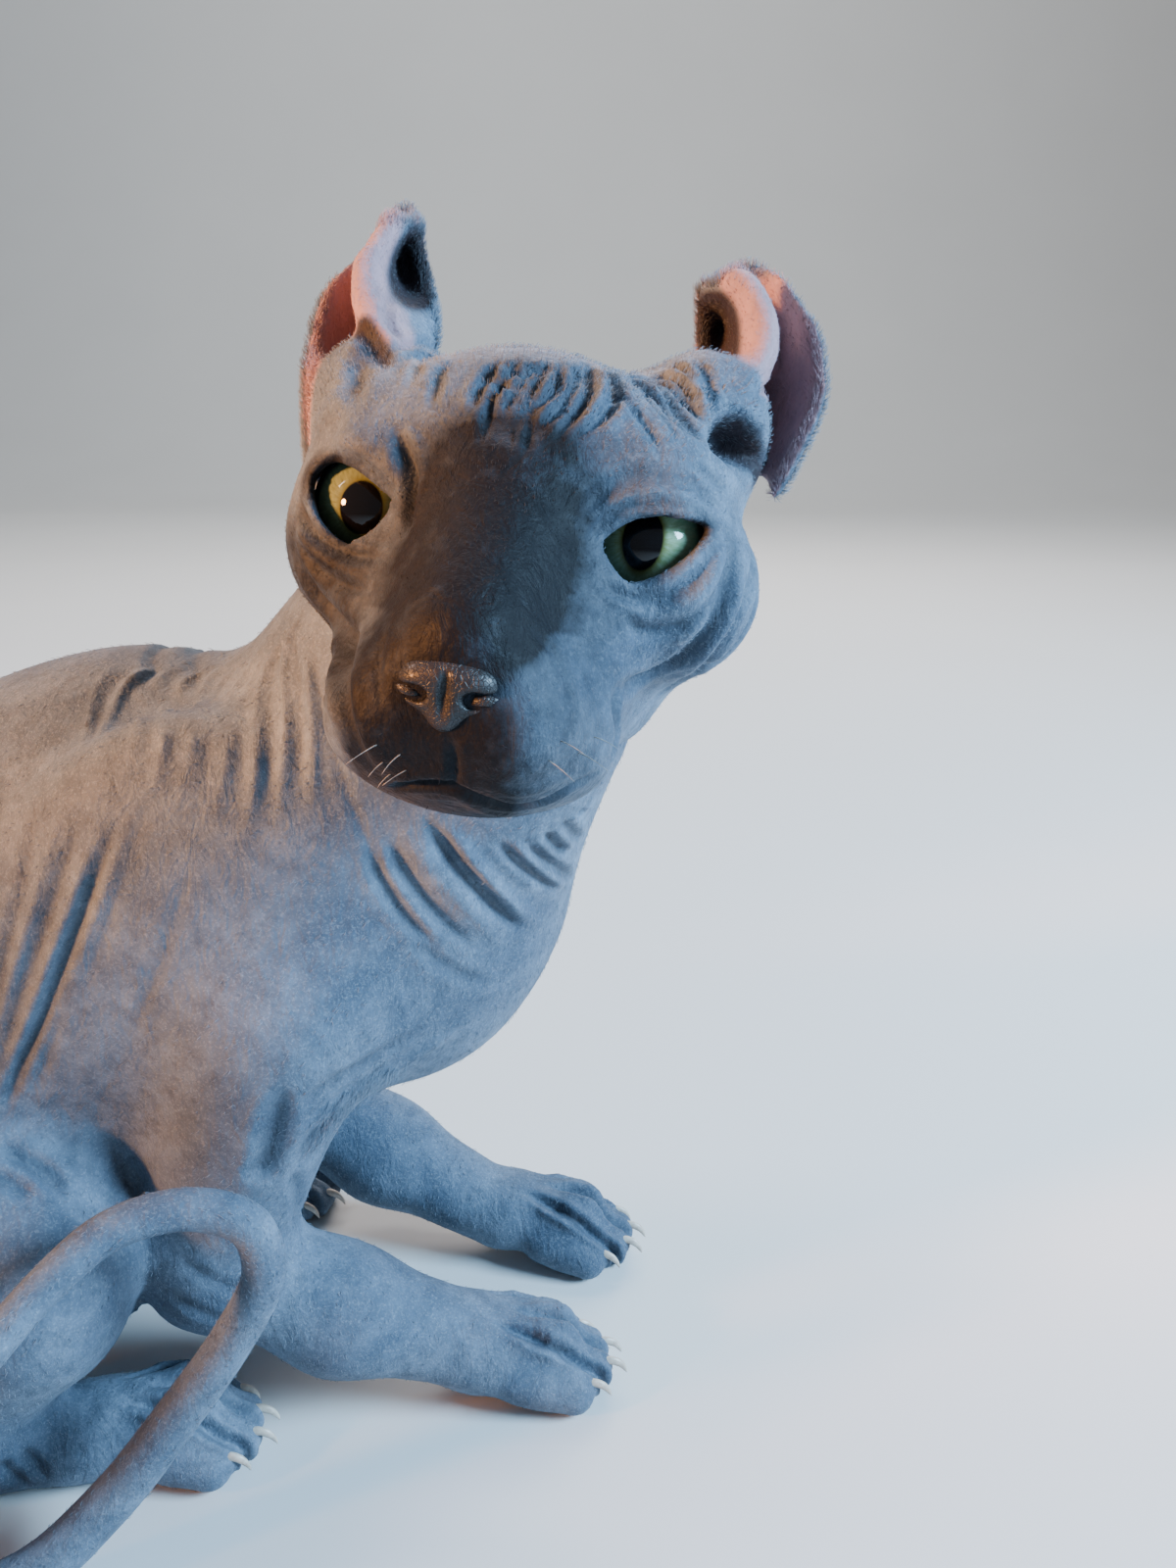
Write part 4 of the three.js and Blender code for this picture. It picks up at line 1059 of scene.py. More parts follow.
def all_folds(tree):
    """Every fold as its half width, height, line, normals and whether it closes on itself."""
    folds = []
    mirror = np.array((1, -1, 1))
    chance = np.random.default_rng(3)
    for fold in HEAD_FOLDS + BODY_FOLDS:
        width, height, places = fold
        found = seen_line(tree, places)
        if found is None:
            continue
        share = chance.uniform(0.55, 1.2) if fold in UNEVEN_FOLDS else 1
        folds.append((width, height * share, *found, False))
        if fold in MIRRORED_FOLDS:
            spots = found[0][::LINE_STEPS] * mirror
            folds.append((width, height * 0.9, *placed_line(tree, spots), False))
    for width, height, places in UNSEEN_FOLDS:
        for flip in (np.ones(3), mirror):
            folds.append((width, height, *placed_line(tree, np.array(places) * flip), False))
    for side, heel, heading in PAWS:
        put = paw_put(heel, heading)
        toes = toe_places(side)
        for (_, reach, across), (_, other, beyond) in zip(toes[:-1], toes[1:]):
            middle = (across + beyond) / 2
            front = min(reach, other) + 4.5
            spots = [put((front - 24, middle * 0.6, 22)), put((front - 14, middle * 0.8, 18)),
                     put((front - 5, middle, 13)), put((front + 2, middle, 7)),
                     put((front + 2, middle, 1)), put((front - 4, middle, -2))]
            folds.append((1.25, -3.0, *placed_line(tree, spots), False))
        for _, reach, across in toes:
            for back, wide, height in ((9, 2.6, 1.0), (2.5, 2.3, 0.8)):
                spots = [put((reach - back - 3, across * 0.9, 20)), put((reach - back, across, 20)),
                         put((reach - back + 3, across, 20))]
                folds.append((wide, height, *placed_line(tree, spots), True))
    for side in SIDES.values():
        folds.append((LID_WIDTH, LID_HEIGHT, *lid_line(side, 1.05, EYE_RADIUS + 2.4), True))
    return folds


def pit_shade_of(tree, points):
    """How deep in the canal or the inner creases of an ear each point lies, to 1, for the painted
    shade there.
    """
    deep = np.zeros(len(points))
    for width, _, places in CANALS:
        found = seen_line(tree, places)
        if found is not None:
            off, _ = to_line(points, found[0], width * 3)
            deep = np.maximum(deep, smooth(width * 1.9, width * 0.7, off))
    return deep


# In half widths: how far a fold reaches, and a groove's shoulders. Then the most that folds lift,
# and the depth from which a groove's painted shade is darkest.

FOLD_REACH = 3.4
SHOULDER_HEIGHT, SHOULDER_PLACE, SHOULDER_WIDTH = 0.32, 1.9, 0.85
LIFT_LIMITS = (-2.8, 2.4)
DARKEST_GROOVE = 1.7


def folded(points, normals, folds):
    """How far each point is lifted by the folds, and its painted shade deep in a groove, to 1."""
    lift = np.zeros(len(points))
    crease = np.zeros(len(points))
    for width, height, line, ways, closed in folds:
        reach = width * FOLD_REACH
        off, along = to_line(points, line, reach)
        close = np.nonzero(off < reach)[0]
        t = along[close]
        way = along_line(t, line, ways)
        facing = smooth(0.1, 0.5, np.einsum("ij,ij->i", way, normals[close]))
        fade = np.ones(len(t)) if closed else smooth(-0.04, 0.2, t) * smooth(1.04, 0.7, t)
        near = off[close] / (width * (0.6 + 0.4 * fade))
        groove = np.exp(-near ** 2)
        if height < 0:
            shoulder = SHOULDER_HEIGHT * np.exp(-((near - SHOULDER_PLACE) / SHOULDER_WIDTH) ** 2)
            lift[close] += -height * (shoulder - groove) * fade * facing
            # painted shade, darkest deep in the groove
            deep = groove * fade * facing * min(-height / DARKEST_GROOVE, 1)
            crease[close] = np.maximum(crease[close], deep)
        else:
            lift[close] += height * groove * fade * facing
    return np.clip(lift, *LIFT_LIMITS), crease


# The hollows inside the ears that lie in shade, by their outlines in the photograph: painted shade
# there, and the canal also sunk

EAR_HOLLOW_SHADOWS = [
    [(424, 226), (437, 250), (442, 292), (440, 314), (418, 316), (402, 304), (396, 284),
     (399, 264), (409, 243)],
    [(714, 298), (736, 298), (751, 316), (755, 342), (751, 368), (738, 382), (719, 376),
     (711, 350), (709, 320)],
]
EAR_CANALS = [
    [(724, 436), (738, 426), (758, 428), (774, 446), (778, 470), (764, 478), (744, 470),
     (730, 456)],
]
CANAL_DEPTH = 5.5


def hollows_of(points, normals, outlines):
    """How far inside the outline of one of an ear's shaded hollows each point facing the camera
    shows.
    """
    x, y, _ = pixels(points)
    sight = CAMERA_PLACE - points
    facing = np.einsum("ij,ij->i", sight, normals) > 0
    deep = np.zeros(len(points))
    for outline in outlines:
        ring = curve_through([np.array(p, float) for p in outline + outline[:1]], 4)
        low, high = ring.min(0) - 12, ring.max(0) + 12
        close = np.nonzero(facing & (x > low[0]) & (x < high[0]) & (y > low[1]) & (y < high[1]))[0]
        flat = np.stack((x[close], y[close]), 1)
        off, _ = to_line(flat, ring, 40)
        signed = np.where(inside_ring(flat, ring), off, -off)
        deep[close] = np.maximum(deep[close], smooth(-5, 4, signed))
    return deep


folds = all_folds(skin_tree(skin_piece))
slopes = skin.normals(2)
lift, crease = folded(skin.points, slopes, folds)
lift -= CANAL_DEPTH * hollows_of(skin.points, slopes, EAR_CANALS)
skin.points += slopes * lift[:, None]
skin.soften(0.25, 1)
skin.write()

# Thinning the skin's mesh: the head stays finest, then the folds, then the rest


def in_face(points):
    local = in_head(points)
    return (local[:, 1] < 34) & (np.linalg.norm(local - (0, 5, 10), axis=1) < 78)


def triangles_in(piece, inside):
    corners = corner_points(piece.data)
    counts = np.zeros(len(piece.data.polygons), int)
    piece.data.polygons.foreach_get("loop_total", counts)
    starts = np.concatenate(([0], np.cumsum(counts)[:-1]))
    return int((counts[inside[corners[starts]]] - 2).sum())


def thin_zones(piece, zones):
    """Decimates a mesh zone by zone, each to about its own number of triangles."""
    counts = {}
    for name, (inside, _) in zones.items():
        counts[name] = triangles_in(piece, inside)
        group = piece.vertex_groups.new(name=name)
        group.add([int(n) for n in np.nonzero(inside)[0]], 1.0, "REPLACE")
    for name, (_, target) in zones.items():
        whole = sum(counts.values())
        kept = min(target, counts[name])
        apply_modifier(piece, "DECIMATE", ratio=(whole - counts[name] + kept) / whole,
                       vertex_group=name, vertex_group_factor=1)
        counts[name] = kept
    piece.vertex_groups.clear()


LEAST_LIFT = 0.04
touched = skin.widened(np.abs(lift) > LEAST_LIFT, 3)
head_zone = in_face(skin.points)
thin_zones(skin_piece, {
    "rest": (~head_zone & ~touched, REST_TRIANGLES),
    "folds": (~head_zone & touched, FOLD_TRIANGLES),
    "head": (head_zone, HEAD_TRIANGLES),
})
edit_all(skin_piece)
bpy.ops.mesh.quads_convert_to_tris()
bpy.ops.object.mode_set(mode="OBJECT")
skin = Skin(skin_piece)

# Markings and painted shade: how dark or pink the skin is at each point, with painted shade in the
# grooves of its folds, in the ears' hollows and on the cat's right side of the face


def band(value, low, high, edge):
    return smooth(low - edge, low + edge, value) * smooth(high + edge, high - edge, value)


def mask_and_shade_of(points):
    """The charcoal markings: the bridge of the nose, round the eyes, the muzzle and the chin; on
    the cat's right side, painted shade low on the side of the face and a wider reach of the dark.
    """
    local = in_head(points)
    x, y, z = local.T
    side = np.abs(x)
    half = np.interp(z, [-44, -30, -20, -10, 0, 8, 18], [17, 16, 14, 13, 12.5, 12, 7])
    middle = x - 0.05 * (z + 10)
    half = np.where((x > 0) & (z < -15), half - 5 * smooth(-15, -24, z), half)
    edge = np.where(z > -15, 12, 8)
    bridge = 1.2 * smooth(half + edge, half - 6, np.abs(middle)) * smooth(2, -8, y)
    bridge *= np.maximum(smooth(22, 12, z), 0.4 * smooth(40, 24, z))
    # On the cat's right the face's dark reaches wider: painted shade
    half = np.where(x < 0, 40, 30)
    face = 0.55 * smooth(half, 16, side) * smooth(20, 6, z) * smooth(8, -6, y)
    aside = np.where(x > 0, x + 4, 7 - x)
    chin = 0.9 * smooth(-30, -38, z) * smooth(22, 10, aside) * smooth(-4, -14, y)
    # Painted shade low on the cat's right side of the face
    cheek_shade = 0.8 * smooth(-10, -20, x) * smooth(2, -8, z) * smooth(-44, -30, z) * smooth(16, 4, y)
    mask = np.maximum(np.maximum(bridge, face), np.maximum(chin, cheek_shade))
    mask *= 1 - 0.6 * smooth(-11, -18, x) * smooth(-25, -32, z)
    for turn in SIDES.values():
        off = np.linalg.norm(points - eye_center(turn), axis=1)
        below = smooth(5, -3, points[:, 2] - eye_center(turn)[2])
        mask = np.maximum(mask, smooth(18, 12.8, off) * (0.22 + 0.4 * below))
    return np.clip(mask, 0, 1)


def rim_of(points):
    """The dark edge of the lids and the corners of the eyes."""
    rim = np.zeros(len(points))
    for side in SIDES.values():
        line, _ = lid_line(side, 1.0, EYE_RADIUS + 1.6)
        off, _ = to_line(points, line, 6)
        rim = np.maximum(rim, smooth(3.1, 1.3, off))
    return rim


def put_attribute(piece, name, values):
    layer = piece.data.attributes.new(name=name, type="FLOAT", domain="POINT")
    layer.data.foreach_set("value", np.asarray(values, dtype=np.float32))


slopes = skin.normals(1)
_, crease = folded(skin.points, slopes, folds)
ear_across, ear_along, ear_away, ear_inner = ear_share(skin.points)
on_ear = smooth(4, 1.8, ear_away)
band_share = smooth(0.70, 0.78, ear_across)
pink = on_ear * np.maximum(ear_inner * smooth(0.97, 0.8, ear_along), band_share * 0.8)
# Painted shade: deep in each ear's cup near its root, in its hollows and canal, and in its inner
# creases
cup = on_ear * ear_inner * band(ear_across, 0.2, 0.40, 0.06) * smooth(0.75, 0.2, ear_along)
hollow_shade = on_ear * hollows_of(skin.points, slopes, EAR_HOLLOW_SHADOWS)
canal = smooth(18, 12, ear_away) * hollows_of(skin.points, slopes, EAR_CANALS)
pit_shade = smooth(9, 4, ear_away) * pit_shade_of(skin_tree(skin_piece), skin.points)
hollow_shade = np.maximum(np.maximum(hollow_shade, canal), pit_shade)
marks_and_shade = {
    "mask": mask_and_shade_of(skin.points),
    "rim": rim_of(skin.points),
    "crease": crease,
    "pink": pink * (1 - hollow_shade),
    "hollow_shade": np.maximum(cup * 0.75, hollow_shade),
}
for name, values in marks_and_shade.items():
    put_attribute(skin_piece, name, values)


# Materials, with the sizes of their bumps in metres and the scales of their noise in waves a metre


class Finish:
    """A material's nodes, added one at a time."""

    def __init__(self, name):
        self.material = bpy.data.materials.new(name)
        self.material.use_nodes = True
        self.tree = self.material.node_tree
        self.shader = self.tree.nodes["Principled BSDF"]
        self.place = self.node("ShaderNodeTexCoord").outputs["Object"]

    def node(self, kind, inputs=None, **settings):
        made = self.tree.nodes.new(kind)
        for key, value in settings.items():
            setattr(made, key, value)
        for key, value in (inputs or {}).items():
            if isinstance(value, bpy.types.NodeSocket):
                self.tree.links.new(value, made.inputs[key])
            else:
                made.inputs[key].default_value = value
        return made

    def noise(self, scale, detail=3, roughness=0.55, distortion=0.0, place=None):
        return self.node("ShaderNodeTexNoise", {
            "Vector": place or self.place, "Scale": scale, "Detail": detail,
            "Roughness": roughness, "Distortion": distortion}).outputs["Fac"]

    def stretched(self, stretch, turn=(0, 0, 0)):
        return self.node("ShaderNodeMapping", {
            "Vector": self.place, "Scale": stretch, "Rotation": turn}).outputs["Vector"]

    def level(self, value, low, high, to_low=0.0, to_high=1.0):
        return self.node("ShaderNodeMapRange", {
            "Value": value, "From Min": low, "From Max": high, "To Min": to_low,
            "To Max": to_high}).outputs["Result"]

    def sum(self, a, b, kind="ADD"):
        return self.node("ShaderNodeMath", {0: a, 1: b}, operation=kind).outputs[0]

    def mix(self, share, a, b, kind="MIX"):
        made = self.node("ShaderNodeMix", data_type="RGBA", blend_type=kind)
        for socket, value in ((0, share), (6, a), (7, b)):
            if isinstance(value, bpy.types.NodeSocket):
                self.tree.links.new(value, made.inputs[socket])
            elif socket == 0:
                made.inputs[socket].default_value = value
            else:
                made.inputs[socket].default_value = (*value, 1)
        return made.outputs[2]

    def attribute(self, name):
        return self.node("ShaderNodeAttribute", attribute_name=name).outputs["Fac"]

    def bump(self, height, strength, distance, under=None):
        inputs = {"Height": height, "Strength": strength, "Distance": distance}
        if under is not None:
            inputs["Normal"] = under
        return self.node("ShaderNodeBump", inputs).outputs["Normal"]

    def set(self, name, value):
        socket = self.shader.inputs[name]
        if isinstance(value, bpy.types.NodeSocket):
            self.tree.links.new(value, socket)
        elif isinstance(value, tuple) and socket.type == "RGBA":
            socket.default_value = (*value, 1)
        else:
            socket.default_value = value


SLATE = (0.068, 0.098, 0.142)
SLATE_LIGHT = (0.15, 0.20, 0.265)
SLATE_DARK = (0.028, 0.039, 0.058)
CHARCOAL = (0.0045, 0.0045, 0.006)
MAUVE = (0.42, 0.25, 0.27)
# painted shade in the ears' hollows and canal
HOLLOW_SHADE_COLOR = (0.02, 0.012, 0.014)
# painted shade in the grooves of the folds
FOLD_SHADE = (0.03, 0.036, 0.047)
LID_BLACK = (0.007, 0.006, 0.007)
DOWN_LIGHT = (0.42, 0.49, 0.57)


def skin_color(finish, down):
    """The markings and painted shade, which the skin and its down share; down is how much of its
    paleness shows.
    """
    patches = finish.level(finish.noise(38, 4, 0.6, 0.4), 0.36, 0.66)
    mottle = finish.level(finish.noise(210, 5, 0.65), 0.35, 0.68)
    color = finish.mix(patches, SLATE, SLATE_LIGHT)
    color = finish.mix(finish.sum(mottle, 0.4, "MULTIPLY"), color, SLATE_DARK)
    dots = finish.node("ShaderNodeTexVoronoi", {"Vector": finish.place, "Scale": 620.0})
    dots = finish.level(dots.outputs["Distance"], 0.1, 0.26, 0.45, 0.0)
    color = finish.mix(finish.sum(dots, patches, "MULTIPLY"), color, SLATE_DARK)
    # charcoal markings, with painted shade on the cat's right side of the face
    mask = finish.attribute("mask")
    uneven = finish.sum(mask, finish.level(patches, 0, 1, -0.12, 0.12))
    uneven = finish.level(finish.sum(uneven, finish.level(mottle, 0, 1, -0.1, 0.1)), 0.02, 0.92)
    color = finish.mix(uneven, color, CHARCOAL)
    thin = finish.level(mask, 0, 0.8, 0.26, 0.01)
    color = finish.mix(finish.sum(down, thin, "MULTIPLY"), color, DOWN_LIGHT)
    pink = finish.sum(finish.attribute("pink"), finish.level(mottle, 0, 1, 1.0, 0.72), "MULTIPLY")
    color = finish.mix(pink, color, MAUVE)
    # painted shade in the ears' hollows and canal
    color = finish.mix(finish.sum(finish.attribute("hollow_shade"), 0.95, "MULTIPLY"), color, HOLLOW_SHADE_COLOR)
    # painted shade in the grooves of the folds
    crease = finish.sum(finish.attribute("crease"), 0.85, "MULTIPLY")
    color = finish.mix(crease, color, FOLD_SHADE)
    return finish.mix(finish.attribute("rim"), color, LID_BLACK), mottle


def skin_finish():
    finish = Finish("sphynx_skin")
    down = finish.level(finish.noise(1700, 3, 0.65, 0.8), 0.5, 0.74)
    color, mottle = skin_color(finish, down)
    finish.set("Base Color", color)
    finish.set("Roughness", finish.level(mottle, 0, 1, 0.48, 0.64))
    finish.set("Specular IOR Level", 0.11)
    finish.set("Sheen Weight", 0.05)
    finish.set("Sheen Roughness", 0.42)
    finish.set("Sheen Tint", (0.8, 0.88, 1.0))
    finish.set("Subsurface Weight", 0.06)
    finish.set("Subsurface Radius", (0.0022, 0.0011, 0.0008))
    finish.set("Subsurface Scale", 1.0)
    lines = finish.noise(260, 5, 0.62, 1.2, finish.stretched((1, 1, 0.45), (0.3, 0.2, 0.5)))
    pores = finish.noise(1100, 3, 0.6)
    normal = finish.bump(lines, 0.6, 0.0009)
    normal = finish.bump(pores, 0.5, 0.0003, normal)
    normal = finish.bump(down, 0.25, 0.0002, normal)
    finish.set("Normal", normal)
    return finish.material


def down_finish():
    finish = Finish("down")
    color, _ = skin_color(finish, finish.level(finish.noise(900, 2), 0.2, 0.8))
    pale = finish.sum(finish.level(finish.noise(2400, 2), 0.3, 0.7, 0.02, 0.2),
                      finish.level(finish.attribute("mask"), 0, 0.8, 1.0, 0.2), "MULTIPLY")
    finish.set("Base Color", finish.mix(pale, color, DOWN_LIGHT))
    finish.set("Roughness", 0.6)
    finish.set("Specular IOR Level", 0.18)
    return finish.material


skin_piece.data.materials.clear()
skin_piece.data.materials.append(skin_finish())
shade_smooth(skin_piece.data)

# Eyes: a ball with a raised cornea, its iris and pupil drawn round the way it looks

PUPILS = {
    -1: ((369, 518), (3.4, 4.1)),
    1: ((656, 551), (3.1, 4.6)),
}
# Both eyes share one green iris; the right eye's is painted darker and warmer, as painted shade
# under warm light
IRIS_LIT_AND_SHADED = {
    -1: ((0.10, 0.11, 0.045), (0.10, 0.155, 0.09), (0.16, 0.21, 0.12)),
    1: ((0.20, 0.25, 0.08), (0.16, 0.36, 0.26), (0.28, 0.43, 0.30)),
}
CORNEA_RISE = 0.9
CORNEA_ANGLE = 0.82


def gaze_axes(side):
    """The eye's own frame, its third axis through the middle of the pupil."""
    (x, y), _ = PUPILS[side]
    ball = eye_center(side)
    gaze = (on_ball(x, y, ball, EYE_RADIUS) - ball) / EYE_RADIUS
    up = head_turn[:, 2] - gaze * (head_turn[:, 2] @ gaze)
    up /= np.linalg.norm(up)
    return np.stack((np.cross(up, gaze), up, gaze), 1)


def eye_finish(side):
    finish = Finish("eye_" + ("left" if side > 0 else "right"))
    centre = (eye_center(side) + SHIFT) / 1000
    turn = Matrix(gaze_axes(side).tolist()).to_euler()
    local = finish.node("ShaderNodeMapping", {
        "Vector": finish.place, "Location": tuple(centre), "Rotation": turn},
        vector_type="TEXTURE").outputs["Vector"]
    parts = finish.node("ShaderNodeSeparateXYZ", {"Vector": local}).outputs
    x = finish.sum(parts["X"], 1000.0, "MULTIPLY")
    y = finish.sum(parts["Y"], 1000.0, "MULTIPLY")
    square = finish.sum(finish.sum(x, x, "MULTIPLY"), finish.sum(y, y, "MULTIPLY"))
    radius = finish.sum(square, 0.5, "POWER")
    wide, tall = PUPILS[side][1]
    px = finish.sum(x, 1 / wide, "MULTIPLY")
    py = finish.sum(y, 1 / tall, "MULTIPLY")
    pupil = finish.sum(finish.sum(finish.sum(px, px, "MULTIPLY"),
                                  finish.sum(py, py, "MULTIPLY")), 0.5, "POWER")
    around = finish.node("ShaderNodeCombineXYZ", {
        "X": finish.sum(x, radius, "DIVIDE"), "Y": finish.sum(y, radius, "DIVIDE"),
        "Z": finish.sum(radius, 0.05, "MULTIPLY")}).outputs["Vector"]
    spokes = finish.noise(11, 4, 0.65, 0.3, around)
    flecks = finish.noise(900, 3, 0.6)
    inner, outer, spoke = IRIS_LIT_AND_SHADED[side]
    color = finish.mix(finish.level(radius, 3.2, 8.2), inner, outer)
    color = finish.mix(finish.level(spokes, 0.35, 0.68), color, spoke)
    color = finish.mix(finish.level(flecks, 0.55, 0.75, 0, 0.4), color, (0.14, 0.2, 0.09))
    color = finish.mix(finish.level(pupil, 1.28, 1.05), color, (0.10, 0.11, 0.035))
    color = finish.mix(finish.level(radius, 7.9, 9.0), color, (0.012, 0.012, 0.012))
    color = finish.mix(finish.level(pupil, 1.06, 0.98), color, (0.003, 0.003, 0.004))
    finish.set("Base Color", color)
    finish.set("Roughness", 0.5)
    finish.set("Specular IOR Level", 0.0)
    finish.set("Coat Weight", 1.0)
    finish.set("Coat Roughness", 0.03)
    finish.set("Coat IOR", 1.45)
    finish.set("Normal", finish.bump(spokes, 0.12, 0.0004))
    return finish.material


def eye_piece(side):
    deselect()
    bpy.ops.mesh.primitive_uv_sphere_add(segments=96, ring_count=72, radius=1)
    piece = bpy.context.view_layer.objects.active
    piece.name = "eyeball_" + ("left" if side > 0 else "right")
    data = piece.data
    places = raw_points(data)
    angle = np.arccos(np.clip(places[:, 2], -1, 1))
    rise = CORNEA_RISE * smooth(CORNEA_ANGLE, 0, angle)
    places = places * (EYE_RADIUS + rise)[:, None]
    places = places @ gaze_axes(side).T + eye_center(side)
    put_points(data, places)
    shade_smooth(data)
    data.materials.append(eye_finish(side))
    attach(piece, "root")
    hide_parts("eye_left" if side > 0 else "eye_right")


for side in SIDES.values():
    eye_piece(side)

# The nose leather, with commas for nostrils and a groove down its middle


def nose_form(local):
    _, y, z = NOSE_TIP
    half = NOSE_WIDTH / 2
    pad = egg((0, y + 4, z + 2.6), (half - 0.4, 4.6, 3.2))(local)
    for side in (-1, 1):
        wing = egg((side * (half - 3.4), y + 4.6, z + 0.6), (3.5, 4.2, 3.4))
        pad = join(pad, wing(local), 2.4)
    pad = join(pad, egg((0, y + 3.8, z - 1.8), (3, 3.6, 3.4))(local), 2.4)
    for side in (-1, 1):
        hole = blend([
            egg((side * 3.9, y + 0.6, z - 0.1), (1.5, 3.4, 1.15)),
            egg((side * 5.6, y + 2.0, z + 0.3), (1.6, 3.0, 0.75)),
            egg((side * 6.9, y + 3.4, z + 0.2), (1.3, 2.4, 0.5)),
        ], 1.0)
        pad = carve(pad, hole(local), 0.7)
    groove = egg((0, y - 0.2, z - 1.6), (0.55, 1.0, 5.0))
    return carve(pad, groove(local), 0.8)


def nose_finish():
    finish = Finish("nose_leather")
    pebbles = finish.node("ShaderNodeTexVoronoi", {"Vector": finish.place, "Scale": 1500.0},
                          feature="DISTANCE_TO_EDGE").outputs["Distance"]
    color = finish.mix(finish.level(finish.noise(300, 3), 0.35, 0.7), (0.006, 0.006, 0.007),
                       (0.018, 0.016, 0.018))
    finish.set("Base Color", color)
    finish.set("Roughness", finish.level(finish.noise(500, 3), 0.3, 0.7, 0.42, 0.6))
    finish.set("Specular IOR Level", 0.35)
    finish.set("Coat Weight", 0.1)
    finish.set("Coat Roughness", 0.2)
    finish.set("Normal", finish.bump(finish.level(pebbles, 0, 0.12), 0.5, 0.0002))
    return finish.material


def nose_piece():
    piece = copy_of(["nose"], "nose_leather")
    apply_modifier(piece, "REMESH", mode="VOXEL", voxel_size=NOSE_GRAIN / 1000)
    nose = Skin(piece)
    nose.soften(0.5, 3)
    for _ in range(3):
        settle(nose, lambda points: nose_form(in_head(points)), np.ones(len(nose.points)), 3.0)
        nose.soften(0.4, 2)
    nose.write()
    piece.data.materials.clear()
    piece.data.materials.append(nose_finish())
    shade_smooth(piece.data)
    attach(piece, "root")
    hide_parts("nose")


nose_piece()

# Claws and whiskers


def horn_finish(name, pale, dark, scale):
    finish = Finish(name)
    finish.set("Base Color", finish.mix(finish.level(finish.noise(scale, 3), 0.3, 0.7), pale, dark))
    finish.set("Roughness", 0.35)
    return finish.material


def joined_rods(name, rods, material):
    points = []
    faces = []
    for spots, around in rods:
        faces += [tuple(n + len(points) for n in face) for face in around]
        points += list(spots)
    piece = mesh_piece(name, points, faces)
    piece.data.materials.append(material)
    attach(piece, "root")


claws = []
for side, heel, heading in PAWS:
    put = paw_put(heel, heading)
    for spread, reach, across in toe_places(side):
        out = spread * 0.5
        places = [(reach + 2.2, across, 7.8), (reach + 5.0, across + out * 0.4, 8.3),
                  (reach + 7.2, across + out * 0.8, 7.4), (reach + 8.6, across + out, 5.8),
                  (reach + 9.3, across + out * 1.1, 4.2)]
        line = curve_through([put(place) for place in places], 3)
        radii = np.interp(np.linspace(0, 1, len(line)), [0, 0.5, 0.85, 1], [1.35, 1.05, 0.5, 0.12])
        claws.append(tube(line, radii, 10, 0.7))
joined_rods("claws", claws, horn_finish("claw_horn", (0.62, 0.55, 0.47), (0.42, 0.34, 0.28), 600))

WHISKER_ROOTS = {
    -1: [(384, 760), (390, 778), (398, 790), (408, 770), (414, 786)],
    1: [(572, 756), (560, 776), (590, 768), (606, 752)],
}
whiskers = []
chance = np.random.default_rng(5)
tree = skin_tree(skin_piece)
for side, roots in WHISKER_ROOTS.items():
    for x, y in roots:
        aim = Vector(on_ray(x, y, 1.0) - CAMERA_PLACE)
        spot, way, _, _ = tree.ray_cast(metres(CAMERA_PLACE), aim)
        if spot is None:
            continue
        root = millimetres(spot)
        way = np.array(way) * 0.8 + head_turn @ np.array((side * 0.75, 0.1, -0.15))
        way = way / np.linalg.norm(way)
        size = chance.uniform(2.4, 5.2)
        bend = head_turn @ np.array((side * 0.1, 0.5, -0.75)) + chance.normal(0, 0.2, 3)
        shares = np.linspace(0, 1, 7)
        line = [root + way * size * (t - 0.06) + bend * size * 0.3 * t * t for t in shares]
        whiskers.append(tube(line, 0.1 - 0.07 * shares, 5))
joined_rods("whiskers", whiskers, horn_finish("whisker_hair", (0.34, 0.31, 0.28),
                                              (0.12, 0.11, 0.1), 900))

# Down: short tapered tufts that lie along the skin, standing out where they break its outline.
# Each tuft's patch on the map is two rings round its root's place, with its tip in the middle.

TUFT_SIDES = 3
TUFT_POINTS = 2 * TUFT_SIDES + 1
TUFT_PATCH = (0.0015, 0.0008)


def flat_map():
    """The skin's own shape, made coarse and unwrapped: its tree, its faces' corners and maps."""
    twin = placed("coarse_skin", skin_piece.data.copy())
    apply_modifier(twin, "DECIMATE", ratio=0.04)
    edit_all(twin)
    bpy.ops.mesh.quads_convert_to_tris()
    bpy.ops.uv.smart_project(angle_limit=math.radians(66), island_margin=0.004)
    bpy.ops.object.mode_set(mode="OBJECT")
    corners = corner_points(twin.data).reshape(-1, 3)
    maps = np.zeros(corners.size * 2)
    twin.data.uv_layers.active.data.foreach_get("uv", maps)
    shape = Skin(twin)
    found = skin_tree(twin), shape.points, corners, maps.reshape(-1, 3, 2)
    bpy.data.objects.remove(twin, do_unlink=True)
    return found


def map_places(unwrap, roots):
    """Where each root lies on the unwrapped skin."""
    tree, points, corners, maps = unwrap
    out = np.zeros((len(roots), 2))
    for n, root in enumerate(roots):
        spot, _, face, _ = tree.find_nearest(metres(root))
        a, b, c = points[corners[face]]
        here = millimetres(spot) - a
        u, v = b - a, c - a
        uu, uv, vv = u @ u, u @ v, v @ v
        scale = max(uu * vv - uv * uv, 1e-12)
        s = (vv * (here @ u) - uv * (here @ v)) / scale
        t = (uu * (here @ v) - uv * (here @ u)) / scale
        out[n] = maps[face, 0] * (1 - s - t) + maps[face, 1] * s + maps[face, 2] * t
    return out


